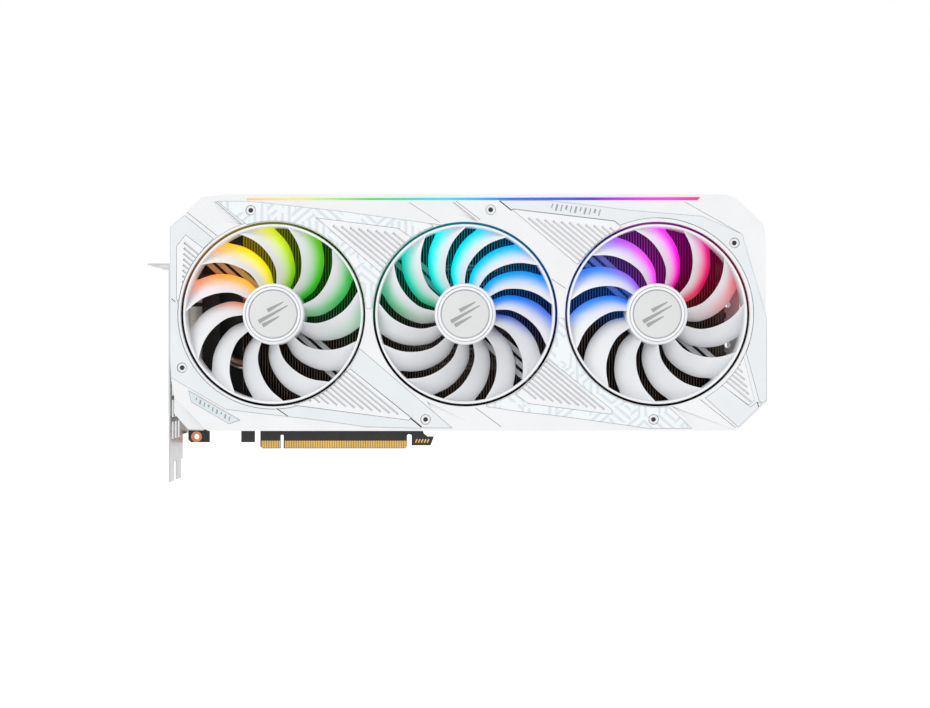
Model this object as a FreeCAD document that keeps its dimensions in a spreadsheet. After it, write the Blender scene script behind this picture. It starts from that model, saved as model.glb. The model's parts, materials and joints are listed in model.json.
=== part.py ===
import FreeCAD, Part
import math
import os
import Sketcher

# A triple-fan graphics card, modelled from the slot up.
# Origin: centre of the slot key at the lower edge of the board, on the board's front face.
# +X runs along the card away from the bracket, +Z is up, and the fans face -Y.

os.makedirs("parts", exist_ok=True)
doc = FreeCAD.newDocument("graphics_card")
sheet = doc.addObject("Spreadsheet::Sheet", "dims")

Vector = FreeCAD.Vector
Rotation = FreeCAD.Rotation
Placement = FreeCAD.Placement
FACING_BACK = Rotation(Vector(1, 0, 0), -90)

# Driving dimensions in millimetres. Names ending in _front are nearer the fans, _back further away.
DIMENSIONS = {
    "face_front": -52.0, "face_back": -49.8, "skirt_front": -41.0, "ledge_back": -39.5, "wall_back": -21.0,
    "board_front": 0.0, "board_back": 1.57,
    "board_left": -54.5, "board_right": 226.0, "board_top": 128.0, "edge_left": -12.6,
    "contact_wide": 0.7, "contact_tall": 4.2, "contact_thick": 0.05, "contact_pitch": 1.0,
    "short_row": 11, "long_row": 71,
    "fan_pitch": 102.5, "fan_first": 4.0, "fan_height": 76.2,
    "opening_radius": 49.2, "collar_radius": 50.9, "collar_back": -39.4,
    "rotor_radius": 48.2, "ring_thick": 1.3, "ring_front": -51.2, "ring_back": -41.5,
    "hub_radius": 16.4, "hub_wall": 1.4, "hub_front": -51.4, "hub_back": -41.0,
    "blade_span": 22.0, "blade_deep": 8.0, "blade_thick": 1.0, "blade_front": -50.6,
    "cap_radius": 12.6, "cap_thick": 0.5, "shaft_radius": 1.5, "shaft_back": -37.2,
    "bearing_gap": 0.04, "barrel_radius": 3.4, "barrel_front": -47.5,
    "magnet_thick": 1.8, "magnet_front": -49.6, "coil_radius": 12.0, "coil_front": -47.0,
    "frame_front": -39.4, "frame_back": -36.4, "arm_wide": 2.6, "arm_pitch": 4.2, "arm_end": 52.5,
    "fins_left": -15.5, "fins_right": 250.0, "fins_low": 17.5, "fins_high": 126.0,
    "fins_front": -34.0, "fins_back": -9.2, "fin_pitch": 1.5, "fin_thick": 0.4, "fin_base": 0.5,
    "pipe_left": -16.5, "pipe_radius": 3.0, "pipe_deep": -12.4, "pipe_pitch": 9.0, "pipe_count": 7,
    "plate_left": 62.0, "plate_right": 142.0, "plate_low": 40.0, "plate_high": 112.0,
    "plate_front": -9.2, "plate_back": -2.8,
    "gpu_middle": 102.0, "gpu_height": 76.2, "gpu_size": 40.0, "die_wide": 25.2, "die_tall": 24.9,
    "substrate_front": -2.0, "die_front": -2.8,
    "memory_wide": 12.0, "memory_tall": 14.0, "memory_thick": 1.1,
    "choke_size": 6.8, "choke_thick": 4.5, "stage_size": 5.0, "stage_thick": 1.0,
    "capacitor_radius": 3.1, "capacitor_tall": 7.4,
    "socket_wide": 18.4, "socket_deep": 9.8, "socket_tall": 14.0, "socket_first": 149.0,
    "socket_pitch": 20.6, "pin_hole": 3.5, "pin_pitch": 4.2, "pin_depth": 11.0,
    "back_front": 4.3, "back_back": 5.8, "cross_back": 3.6, "cross_front": 2.2,
    "bracket_outer": -56.1, "bracket_inner": -55.1, "bracket_near": -35.5, "bracket_far": 3.2,
    "bracket_top": 104.6, "bracket_low": -4.8, "tail_tip": -15.4, "tail_wide": 8.4,
    "foot_top": 9.0, "foot_far": -9.6, "tail_pitch": 14.0, "tab_deep": 11.4, "slot_pitch": 20.32,
    "port_depth": 12.0, "port_middle": -3.5,
    "switch_middle": 33.0,
    "insert_front": -51.7, "insert_back": -49.8, "insert_gap": 0.15,
    "groove_wide": 1.1, "groove_deep": 0.8, "groove_pitch": 3.0, "groove_slope": -39.7,
    "bar_left": -9.8, "bar_right": 231.8, "bar_low": 136.9, "bar_high": 138.5,
    "screw_radius": 2.6, "screw_head": 1.4, "peg_radius": 1.6, "peg_head": 2.8, "peg_sink": 1.0,
    "hole_radius": 1.7, "hub_hole": 1.6,
}

# Outlines in the X-Z plane, corner by corner.
OUTLINES = {
    "face": [(-50.2, 40.8), (-51.0, 55.0), (-51.0, 122.9), (-43.4, 129.2), (-34.7, 138.1),
             (-21.2, 140.1), (243.8, 140.1), (250.5, 138.3), (265.5, 123.9), (266.7, 116.4),
             (266.7, 77.3), (267.5, 73.0), (267.5, 29.3), (251.3, 13.9), (-31.0, 13.9),
             (-48.6, 32.2)],
    "hollow": [(-48.2, 41.0), (-49.0, 55.0), (-49.0, 121.9), (-41.9, 127.8), (-33.8, 136.2),
               (-21.0, 138.1), (243.5, 138.1), (249.5, 136.5), (263.6, 122.9), (264.7, 116.2),
               (264.7, 77.1), (265.5, 72.8), (265.5, 30.1), (250.5, 15.9), (-30.1, 15.9),
               (-46.7, 33.1)],
    "skirt": [(-51.5, 22.5), (-51.5, 122.9), (-43.4, 129.2), (-34.7, 138.1), (-21.2, 140.1),
              (243.8, 140.1), (250.5, 138.3), (265.5, 123.9), (266.7, 116.4), (266.7, 77.3),
              (267.5, 73.0), (267.5, 29.3), (251.3, 13.9), (-44.0, 13.9)],
    "ledge": [(-50.5, 23.0), (-50.5, 43.0), (-48.0, 43.0), (-46.7, 33.1), (-30.1, 15.9), (-30.1, 14.5),
              (-43.5, 14.5)],
    "skirt_hollow": [(-49.5, 23.2), (-49.5, 121.9), (-41.9, 127.8), (-33.8, 136.2), (-21.0, 138.1),
                     (243.5, 138.1), (249.5, 136.5), (263.6, 122.9), (264.7, 116.2),
                     (264.7, 77.1), (265.5, 72.8), (265.5, 30.1), (250.5, 15.9), (-43.3, 15.9)],
    "board": [(-54.5, 128.0), (-54.5, 5.2), (-52.9, 3.6), (-42.2, 3.6), (-42.2, 10.8),
              (-23.7, 10.8), (-23.7, 3.6), (-15.9, 3.6), (-15.9, 10.8), (-12.6, 10.8),
              (-12.6, 1.2), (-11.4, 0.0), (-0.95, 0.0), (-0.95, 7.4), (-0.5, 7.9), (0.5, 7.9),
              (0.95, 7.4), (0.95, 0.0), (71.4, 0.0), (72.6, 1.2), (72.6, 7.6), (73.3, 8.2),
              (74.7, 8.2), (75.4, 7.6), (75.4, 1.8), (86.4, 1.8), (88.3, 6.9), (84.6, 6.9),
              (82.4, 8.6), (81.7, 10.8), (226.0, 10.8), (226.0, 112.0), (219.0, 128.0)],
    "rib_left": [(-33.1, 111.1), (-42.4, 118.3), (-47.2, 112.3), (-47.2, 84.0), (-40.0, 80.0),
                 (-25.0, 105.0)],
    "vent_a": [(27.6, 127.3), (70.6, 121.8), (77.6, 116.9), (61.3, 98.7)],
    "vent_b": [(131.8, 131.9), (185.8, 125.6), (189.5, 122.5), (166.2, 102.8)],
    "vent_c": [(45.2, 46.9), (77.3, 21.0), (76.5, 19.7), (15.0, 27.8)],
    "vent_d": [(150.7, 52.0), (184.9, 24.9), (184.3, 22.9), (140.1, 28.6), (133.7, 33.3)],
    "rib_right": [(242.5, 39.0), (257.6, 27.8), (260.5, 30.5), (254.4, 55.0), (250.0, 52.0)],
    "badge": [(-40.9, 35.4), (-13.5, 19.7), (-19.2, 17.7), (-39.5, 29.4)],
    "bar": [(-9.8, 136.9), (-9.8, 138.5), (231.8, 138.5), (230.2, 136.9)],
    "backplate": [(-53.0, 12.0), (-53.0, 122.0), (-46.0, 129.0), (135.0, 129.0), (140.0, 124.0),
                  (218.0, 124.0), (223.0, 129.0), (252.0, 129.0), (264.0, 117.0), (264.0, 24.0),
                  (252.0, 12.0)],
    "window": [(229.0, 34.0), (229.0, 118.0), (236.0, 125.0), (250.0, 125.0), (260.0, 115.0),
               (260.0, 26.0), (250.0, 16.0), (229.0, 16.0)],
}

# Each fan: name, blades, direction in which the blades sweep, and turn of the first blade in degrees.
FANS = [("fan_left", 11, 1, 8.97), ("fan_center", 13, -1, 16.4), ("fan_right", 11, 1, 1.17)]
# Directions of a fan frame's two arms, in degrees. Each arm is three bars side by side.
ARM_DIRECTIONS = (-42, 138)

# Turning of a blade's middle line away from straight out, by share of the span from hub to ring.
BLADE_SWEEP = [(0.0, -2.0), (0.25, 0.5), (0.5, 9.0), (0.75, 18.0), (1.0, 29.0)]

SHROUD_SCREWS = [(-7.8, 131.5), (120.1, 131.8), (250.0, 114.1),
                 (-44.4, 47.6), (85.4, 20.0), (206.9, 20.0)]
BOARD_SCREWS = [(-47.0, 120.0), (-47.0, 22.0), (20.0, 121.0), (20.0, 17.0), (132.0, 121.0),
                (132.0, 17.0), (214.0, 108.0), (214.0, 17.0)]
CAPACITOR_SPOTS = [(44.0, 24.0 + 9.0 * step) for step in range(8)]
CAPACITOR_SPOTS += [(150.0 + 9.0 * step, 32.0) for step in range(6)]
CHOKE_SPOTS = [(54.0, 28.0 + 9.2 * step) for step in range(10)]
CHOKE_SPOTS += [(152.0, 42.0 + 9.2 * step) for step in range(7)]
STAGE_SPOTS = [(36.0, 28.0 + 9.2 * step) for step in range(9)]
STAGE_SPOTS += [(160.0, 42.0 + 9.2 * step) for step in range(7)]
MEMORY_SPOTS = [(70.5, 52.0), (70.5, 69.0), (70.5, 86.0), (133.5, 52.0), (133.5, 69.0), (133.5, 86.0),
                (85.0, 106.0), (101.0, 106.0), (117.0, 106.0), (102.0, 46.5)]

# Middle height, shell width and shell thickness of each display port, from the bottom up.
PORTS = [(18.5, 15.2, 5.8), (36.9, 16.9, 6.4), (55.3, 16.9, 6.4), (73.7, 16.9, 6.4), (92.1, 15.2, 5.8)]

exported = []


def fill_sheet():
    """Put every driving dimension and outline corner in the sheet under its own alias."""
    cells = dict(DIMENSIONS)
    for name, corners in OUTLINES.items():
        for index, (x, z) in enumerate(corners):
            cells[f"{name}_x{index}"] = x
            cells[f"{name}_z{index}"] = z
    for row, (alias, value) in enumerate(cells.items(), start=1):
        sheet.set(f"A{row}", alias)
        sheet.set(f"B{row}", str(value))
        sheet.setAlias(f"B{row}", alias)
    doc.recompute()


def size(alias):
    """The number that the sheet holds under an alias."""
    return float(sheet.get(alias))


def keep(thing, label):
    """Name a finished sub-part and list it for export."""
    thing.Label = label
    exported.append(thing)
    return thing


def bind(thing, **expressions):
    """Bind properties to sheet expressions. In a name, two underscores stand for a dot."""
    for name, expression in expressions.items():
        thing.setExpression(name.replace("__", "."), expression)


def plane(body, role):
    """One of a body's own origin planes."""
    return next(item for item in body.Origin.OriginFeatures if item.Role == role)


def draw_outline(sketch, name):
    """Draw a closed outline and tie each corner to its two cells."""
    corners = [Vector(x, z, 0) for x, z in OUTLINES[name]]
    count = len(corners)
    first = len(sketch.Geometry)
    for index in range(count):
        sketch.addGeometry(Part.LineSegment(corners[index], corners[(index + 1) % count]))
    rules = [Sketcher.Constraint("Coincident", first + index, 2, first + (index + 1) % count, 1)
             for index in range(count)]
    sketch.addConstraint(rules)
    for index, corner in enumerate(corners):
        for kind, value, cell in (("DistanceX", corner.x, "x"), ("DistanceY", corner.y, "z")):
            rule = sketch.addConstraint(Sketcher.Constraint(kind, -1, 1, first + index, 1, value))
            sketch.setExpression(f"Constraints[{rule}]", f"dims.{name}_{cell}{index}")


def draw_circle(sketch, centre_x, centre_z, radius):
    """Draw a circle whose centre and radius are sheet expressions held as (expression, value)."""
    middle = Vector(centre_x[1], centre_z[1], 0)
    index = sketch.addGeometry(Part.Circle(middle, Vector(0, 0, 1), radius[1]))
    rules = [("DistanceX", (-1, 1, index, 3, middle.x), centre_x[0]),
             ("DistanceY", (-1, 1, index, 3, middle.y), centre_z[0]),
             ("Radius", (index, radius[1]), radius[0])]
    for kind, arguments, expression in rules:
        rule = sketch.addConstraint(Sketcher.Constraint(kind, *arguments))
        sketch.setExpression(f"Constraints[{rule}]", expression)


def fan_centre(place):
    """Centre of the fan in a place from 0 to 2, as (expression, value) pairs for X and Z."""
    across = (f"dims.fan_first + {place} * dims.fan_pitch",
              size("fan_first") + place * size("fan_pitch"))
    return across, ("dims.fan_height", size("fan_height"))


def cell(alias):
    """A sheet cell as an (expression, value) pair."""
    return f"dims.{alias}", size(alias)


def flat_layer(body, near, far, outlines=(), circles=()):
    """Pad outlines and circles of one body along Y, from the cell `far` towards the cell `near`."""
    number = len(body.Group)
    sketch = body.newObject("Sketcher::SketchObject", f"{body.Name}_sketch{number}")
    sketch.AttachmentSupport = (plane(body, "XZ_Plane"), [""])
    sketch.MapMode = "FlatFace"
    for name in outlines:
        draw_outline(sketch, name)
    for across, up, radius in circles:
        draw_circle(sketch, across, up, radius)
    bind(sketch, AttachmentOffset__Base__z=f"-dims.{far}")
    doc.recompute()
    pad = body.newObject("PartDesign::Pad", f"{body.Name}_pad{number}")
    pad.Profile = sketch
    bind(pad, Length=f"dims.{far} - dims.{near}")
    doc.recompute()
    return pad


def flat_body(name, near, far, outlines=(), circles=()):
    """A flat piece, padded along Y between two cells."""
    body = doc.addObject("PartDesign::Body", name)
    flat_layer(body, near, far, outlines, circles)
    return body


def box(name, x, y, z, wide, deep, tall):
    """A box from its low corner and its sizes, all sheet expressions."""
    block = doc.addObject("Part::Box", name)
    bind(block, Length=wide, Width=deep, Height=tall,
         Placement__Base__x=x, Placement__Base__y=y, Placement__Base__z=z)
    return block


def rod(name, x, z, near, far, radius):
    """A cylinder along Y between two depths, all sheet expressions."""
    post = doc.addObject("Part::Cylinder", name)
    post.Placement = Placement(Vector(0, 0, 0), FACING_BACK)
    bind(post, Radius=radius, Height=f"({far}) - ({near})",
         Placement__Base__x=x, Placement__Base__y=near, Placement__Base__z=z)
    return post


def group(name, pieces):
    """Separate solids kept together as one sub-part."""
    compound = doc.addObject("Part::Compound", name)
    compound.Links = pieces
    return compound


def join(name, pieces):
    """Pieces fused into one solid."""
    fusion = doc.addObject("Part::MultiFuse", name)
    fusion.Shapes = pieces
    return fusion


def cut(name, base, tools):
    """A piece with one or more tools taken away."""
    result = doc.addObject("Part::Cut", name)
    result.Base = base
    result.Tool = tools[0] if len(tools) == 1 else join(f"{name}_tools", tools)
    return result


def solid(name, shape):
    """A free-form sub-part whose shape is worked out in code from the sheet's sizes."""
    feature = doc.addObject("Part::Feature", name)
    feature.Shape = shape
    feature.Placement = Placement()
    return feature


def block_shape(x0, x1, y0, y1, z0, z1):
    """A plain box between two corners."""
    return Part.makeBox(x1 - x0, y1 - y0, z1 - z0, Vector(x0, y0, z0))


# ---------------------------------------------------------------- circuit board

def build_board():
    """Board with its slot edge, key notch, retention hook and screw holes."""
    holes = [((f"{x}", x), (f"{z}", z), cell("hole_radius")) for x, z in BOARD_SCREWS]
    tab_hole = (("-49.7", -49.7), ("6.8", 6.8), cell("hub_hole"))
    board = flat_body("board", "board_front", "board_back", ["board"], holes + [tab_hole])
    keep(board, "circuit_board")

    pads = []
    for front in (size("board_front") - size("contact_thick"), size("board_back")):
        starts = [(size("edge_left") + 1.1, size("short_row")), (2.05, size("long_row"))]
        for start, count in starts:
            for step in range(int(count)):
                x = start + step * size("contact_pitch") - size("contact_wide") / 2
                pads.append(block_shape(x, x + size("contact_wide"),
                                        front, front + size("contact_thick"),
                                        0.3, 0.3 + size("contact_tall")))
    keep(solid("contacts", Part.Compound(pads)), "edge_contacts")


def build_chips():
    """Processor, memory and the power components on the board's front."""
    half = "dims.gpu_size / 2"
    keep(box("substrate", f"dims.gpu_middle - {half}", "dims.substrate_front",
             f"dims.gpu_height - {half}", "dims.gpu_size", "-dims.substrate_front",
             "dims.gpu_size"), "gpu_substrate")
    keep(box("die", "dims.gpu_middle - dims.die_wide / 2", "dims.die_front",
             "dims.gpu_height - dims.die_tall / 2", "dims.die_wide",
             "dims.substrate_front - dims.die_front", "dims.die_tall"), "gpu_die")

    layouts = [("memory_chips", MEMORY_SPOTS, "dims.memory_wide", "dims.memory_tall", "dims.memory_thick"),
               ("power_chokes", CHOKE_SPOTS, "dims.choke_size", "dims.choke_size", "dims.choke_thick"),
               ("power_stages", STAGE_SPOTS, "dims.stage_size", "dims.stage_size", "dims.stage_thick")]
    for label, spots, wide, tall, thick in layouts:
        chips = [box(f"{label}_{index}", f"{x} - {wide} / 2", f"-{thick}", f"{z} - {tall} / 2",
                     wide, thick, tall)
                 for index, (x, z) in enumerate(spots)]
        keep(group(f"{label}_group", chips), label)

    cans = [rod(f"can_{index}", f"{x}", f"{z}", "-dims.capacitor_tall", "dims.board_front",
                "dims.capacitor_radius")
            for index, (x, z) in enumerate(CAPACITOR_SPOTS)]
    keep(group("cans", cans), "capacitors")


def build_sockets():
    """Three eight-way power sockets that open upwards, and two fan sockets at the board's end."""
    for place in range(3):
        left = f"dims.socket_first + {place} * dims.socket_pitch"
        shell = box(f"socket_shell_{place}", left, "-dims.socket_deep - 0.2",
                    "dims.board_top - dims.socket_tall", "dims.socket_wide", "dims.socket_deep",
                    "dims.socket_tall")
        holes = []
        for column in range(4):
            for row in range(2):
                name = f"pin_hole_{place}_{column}_{row}"
                x = (f"{left} + dims.socket_wide / 2 + ({column} - 1.5) * dims.pin_pitch"
                     " - dims.pin_hole / 2")
                y = (f"-0.2 - dims.socket_deep / 2 + ({row} - 0.5) * dims.pin_pitch"
                     " - dims.pin_hole / 2")
                holes.append(box(name, x, y, "dims.board_top - dims.pin_depth", "dims.pin_hole",
                                 "dims.pin_hole", "dims.pin_depth + 1"))
        keep(cut(f"socket_{place}", shell, holes), f"power_socket_{place + 1}")

    headers = []
    for place in range(2):
        low = f"{32 + 16 * place}"
        shell = box(f"header_{place}", "dims.board_right - 8", "-6.2", low, "8", "6", "11")
        mouth = box(f"header_mouth_{place}", "dims.board_right - 6.5", "-5.4", f"{low} + 0.7", "7",
                    "4.4", "9.6")
        headers.append(cut(f"header_cut_{place}", shell, [mouth]))
    keep(group("headers", headers), "case_fan_sockets")

    base = box("switch_base", "dims.switch_middle - 4.2", "-4.2", "dims.board_top - 4.4", "8.4", "4",
               "4.4")
    slot = box("switch_slot", "dims.switch_middle - 2.2", "-2.9", "dims.board_top - 2.4", "4.4", "1.4",
               "4")
    keep(cut("switch_cut", base, [slot]), "bios_switch_body")
    keep(box("switch_lever", "dims.switch_middle - 2.1", "-2.8", "dims.board_top - 2.3",
             "2.2", "1.2", "4.3"), "bios_switch_lever")


# ---------------------------------------------------------------- cooler

def build_fins():
    """Comb of upright fins joined by a thin base, with channels for the heat pipes."""
    left, front, back = size("fins_left"), size("fins_front"), size("fins_back")
    base = back - size("fin_base")
    count = int((size("fins_right") - left) / size("fin_pitch"))
    teeth = []
    for index in range(count):
        x0 = left + index * size("fin_pitch")
        x1 = x0 + size("fin_thick")
        teeth += [Vector(x0, base, 0), Vector(x0, front, 0), Vector(x1, front, 0), Vector(x1, base, 0)]
    corners = teeth[1:-1] + [Vector(x1, back, 0), Vector(left, back, 0)]
    comb = Part.Face(Part.makePolygon(corners + [corners[0]]))
    comb.translate(Vector(0, 0, size("fins_low")))
    comb = comb.extrude(Vector(0, 0, size("fins_high") - size("fins_low")))

    channel = size("pipe_radius") + 0.3
    tools = [block_shape(left - 1, x1 + 1, size("pipe_deep") - channel, back + 1,
                         height - channel, height + channel)
             for height in pipe_heights()]
    sockets_left = size("socket_first") - 2
    sockets_right = size("socket_first") + 3 * size("socket_pitch") + 1
    tools.append(block_shape(sockets_left, sockets_right, back - 4, back + 1, 108.0,
                             size("fins_high") + 1))
    keep(solid("fins", comb.cut(tools)), "fin_stack")


def pipe_heights():
    """Heights of the heat pipes, evenly about the fans' centre line."""
    count = int(size("pipe_count"))
    return [size("fan_height") + (index - (count - 1) / 2) * size("pipe_pitch")
            for index in range(count)]


def build_pipes():
    """Round heat pipes along the fins; two of them turn back at the bracket end."""
    radius, depth = size("pipe_radius"), size("pipe_deep")
    heights = pipe_heights()
    right = size("fins_right") - 6
    pipes = []
    for index, height in enumerate(heights):
        start = size("pipe_left") - 3 * (index % 2)
        if index in (0, 2):
            continue
        pipes.append(Part.makeCylinder(radius, right - start, Vector(start, depth, height),
                                       Vector(1, 0, 0)))
    low, high = heights[0], heights[2]
    bend = (high - low) / 2
    corner = size("pipe_left") - 3.5
    path = Part.Wire([
        Part.LineSegment(Vector(right, depth, low), Vector(corner, depth, low)).toShape(),
        Part.Arc(Vector(corner, depth, low), Vector(corner - bend, depth, low + bend),
                 Vector(corner, depth, high)).toShape(),
        Part.LineSegment(Vector(corner, depth, high), Vector(right, depth, high)).toShape()])
    section = Part.Wire(Part.Circle(Vector(right, depth, low), Vector(1, 0, 0), radius).toShape())
    pipes.append(path.makePipeShell([section], True, True))
    keep(solid("pipes", Part.Compound(pipes)), "heat_pipes")


def build_cold_plate():
    """Base plate on the processor, the frame plate around it and the pads under the memory."""
    keep(box("cold", "dims.plate_left", "dims.plate_front", "dims.plate_low",
             "dims.plate_right - dims.plate_left", "dims.plate_back - dims.plate_front",
             "dims.plate_high - dims.plate_low"), "cold_plate")
    pads = [box(f"pad_{index}", f"{x} - dims.memory_wide / 2", "dims.plate_back",
                f"{z} - dims.memory_tall / 2 + 1", "dims.memory_wide",
                "-dims.plate_back - dims.memory_thick", "dims.memory_tall - 2")
            for index, (x, z) in enumerate(MEMORY_SPOTS)]
    keep(group("pads", pads), "thermal_pads")

    # The stiffening frame stands on the board's left end and carries the shroud there.
    left = "dims.board_left + 12"
    plate = box("frame_plate", left, "-16", "20", "10", "1.5", "100")
    feet = [box(f"frame_foot_{index}", left, "-16", f"{z}", "10", "16", "1.5")
            for index, z in enumerate((20.0, 118.5))]
    struts = [box(f"frame_strut_{index}", left, "dims.frame_back + 1", f"{z}", "10",
                  "-15.5 - dims.frame_back - 1", "2")
              for index, z in enumerate((44.0, 96.0))]
    keep(join("end_frame", [plate] + feet + struts), "stiffening_frame")


# ---------------------------------------------------------------- shroud

def groove_plate(name):
    """Ribbed insert: a flat plate with a row of slanting grooves in its front."""
    corners = OUTLINES[name]
    body = flat_body(name, "insert_front", "insert_back", [name])
    left = min(x for x, z in corners)
    right = max(x for x, z in corners)
    low = min(z for x, z in corners)
    high = max(z for x, z in corners)
    reach = math.hypot(right - left, high - low)
    count = int(2 * reach / size("groove_pitch"))
    grooves = []
    for index in range(count):
        groove = doc.addObject("Part::Box", f"{name}_groove{index}")
        slope = Rotation(Vector(0, 1, 0), -size("groove_slope"))
        offset = slope.multVec(Vector(-reach, 0, (index - count / 2) * size("groove_pitch")))
        middle = Vector((left + right) / 2, size("insert_front") - 1, (low + high) / 2)
        groove.Placement = Placement(middle + offset, slope)
        groove.Length = 2 * reach
        bind(groove, Height="dims.groove_wide", Width="dims.groove_deep + 1")
        grooves.append(groove)
    return cut(f"{name}_ribbed", body, grooves)


def build_shroud():
    """White cover: front face, side walls and a collar round each fan, with recesses for its trim."""
    circles = [(*fan_centre(place), cell("opening_radius")) for place in range(3)]
    shell = doc.addObject("PartDesign::Body", "shell")
    flat_layer(shell, "face_front", "face_back", ["face"], circles)
    flat_layer(shell, "face_back", "skirt_front", ["face", "hollow"])
    flat_layer(shell, "skirt_front", "wall_back", ["skirt", "skirt_hollow"])
    flat_layer(shell, "skirt_front", "ledge_back", ["ledge"])
    for place in range(3):
        centre = fan_centre(place)
        flat_layer(shell, "face_back", "collar_back",
                   circles=[(*centre, cell("opening_radius")), (*centre, cell("collar_radius"))])

    lips = []
    for place in range(3):
        across, up = fan_centre(place)
        lips.append(rod(f"lip_{place}", across[0], up[0], "dims.face_front - 1", "dims.face_back + 1",
                        "dims.collar_radius + dims.insert_gap"))
    names = ["rib_left", "vent_a", "vent_b", "vent_c", "vent_d", "rib_right"]
    labels = ["rib_insert_left", "vent_insert_upper_left", "vent_insert_upper_right",
              "vent_insert_lower_left", "vent_insert_lower_right", "rib_insert_right"]
    recesses = []
    for name, label in zip(names, labels):
        plate = groove_plate(name)
        keep(cut(f"{name}_insert", plate, lips), label)
        recess = flat_body(f"{name}_recess", "face_front", "face_back", [name])
        recesses.append(cut(f"{name}_hole", recess, lips))

    badge_recess = flat_body("badge_recess", "face_front", "insert_front", ["badge"])
    keep(flat_body("badge_plate", "face_front", "insert_front", ["badge"]), "badge_plate")
    bar_recess = flat_body("bar_recess", "face_front", "face_back", ["bar"])
    keep(flat_body("bar_lens", "face_front", "face_back", ["bar"]), "light_bar")
    keep(box("bar_lights", "dims.bar_left", "dims.face_back", "dims.bar_low - 1.5",
             "dims.bar_right - dims.bar_left", "1.2", "dims.bar_high - dims.bar_low + 0.9"),
         "light_bar_board")

    holes = []
    screws = []
    for index, (x, z) in enumerate(SHROUD_SCREWS):
        holes.append(rod(f"screw_hole_{index}", f"{x}", f"{z}", "dims.face_front - 1",
                         "dims.face_front + dims.screw_head", "dims.screw_radius + 0.1"))
        head = rod(f"screw_{index}", f"{x}", f"{z}", "dims.face_front + 0.2",
                   "dims.face_front + dims.screw_head", "dims.screw_radius")
        drive = rod(f"screw_drive_{index}", f"{x}", f"{z}", "dims.face_front",
                    "dims.face_front + 1.0", "1.1")
        screws.append(cut(f"shroud_screw_{index}", head, [drive]))
    keep(group("front_screws", screws), "shroud_screws")
    keep(cut("shroud_cut", shell, recesses + [badge_recess, bar_recess] + holes), "front_shroud")


# ---------------------------------------------------------------- fans

def blade_shape(middle, hand):
    """One blade, lofted through slanting sections from the hub to the ring."""
    inner = size("hub_radius") - 0.6
    outer = size("rotor_radius") - size("ring_thick") + 0.5
    half = math.radians(size("blade_span") / 2)
    front, back = size("blade_front"), size("blade_front") + size("blade_deep")
    sections = []
    for share, turn in BLADE_SWEEP:
        radius = inner + share * (outer - inner)
        angle = math.radians(middle + hand * turn)
        outward = Vector(math.cos(angle), 0, math.sin(angle))
        along = Vector(-math.sin(angle), 0, math.cos(angle)) * hand
        reach = radius * math.sin(half)
        lean = Vector(0, size("blade_thick") / 2, 0)
        near = outward * radius * math.cos(half) + along * reach + Vector(0, front + 0.5, 0)
        far = outward * radius * math.cos(half) - along * reach + Vector(0, back - 0.5, 0)
        corners = [near - lean, near + lean, far + lean, far - lean]
        sections.append(Part.makePolygon(corners + [corners[0]]))
    return Part.makeLoft(sections, True, False)


def rotor_shape(blades, hand, first):
    """Hub cup, blades and outer ring moulded as one piece, about the Y axis."""
    hub, wall = size("hub_radius"), size("hub_wall")
    hub_front, hub_back = size("hub_front"), size("hub_back")
    ring_out, ring_in = size("rotor_radius"), size("rotor_radius") - size("ring_thick")
    backwards = Vector(0, 1, 0)
    cup = Part.makeCylinder(hub, hub_back - hub_front, Vector(0, hub_front, 0), backwards)
    hollow = Part.makeCylinder(hub - wall, hub_back - hub_front, Vector(0, hub_front + wall, 0),
                               backwards)
    ring = Part.makeCylinder(ring_out, size("ring_back") - size("ring_front"),
                             Vector(0, size("ring_front"), 0), backwards)
    ring_hole = Part.makeCylinder(ring_in, 40, Vector(0, -60, 0), backwards)
    vanes = [blade_shape(first + 360 * index / blades, hand) for index in range(blades)]
    shape = cup.fuse([ring.cut(ring_hole)] + vanes).cut(hollow)
    cap_seat = Part.makeCylinder(size("cap_radius") + 0.1, size("cap_thick"),
                                 Vector(0, hub_front, 0), backwards)
    bore = Part.makeCylinder(size("shaft_radius"), 8, Vector(0, hub_front + size("cap_thick"), 0),
                             backwards)
    return shape.cut([cap_seat, bore])


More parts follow.
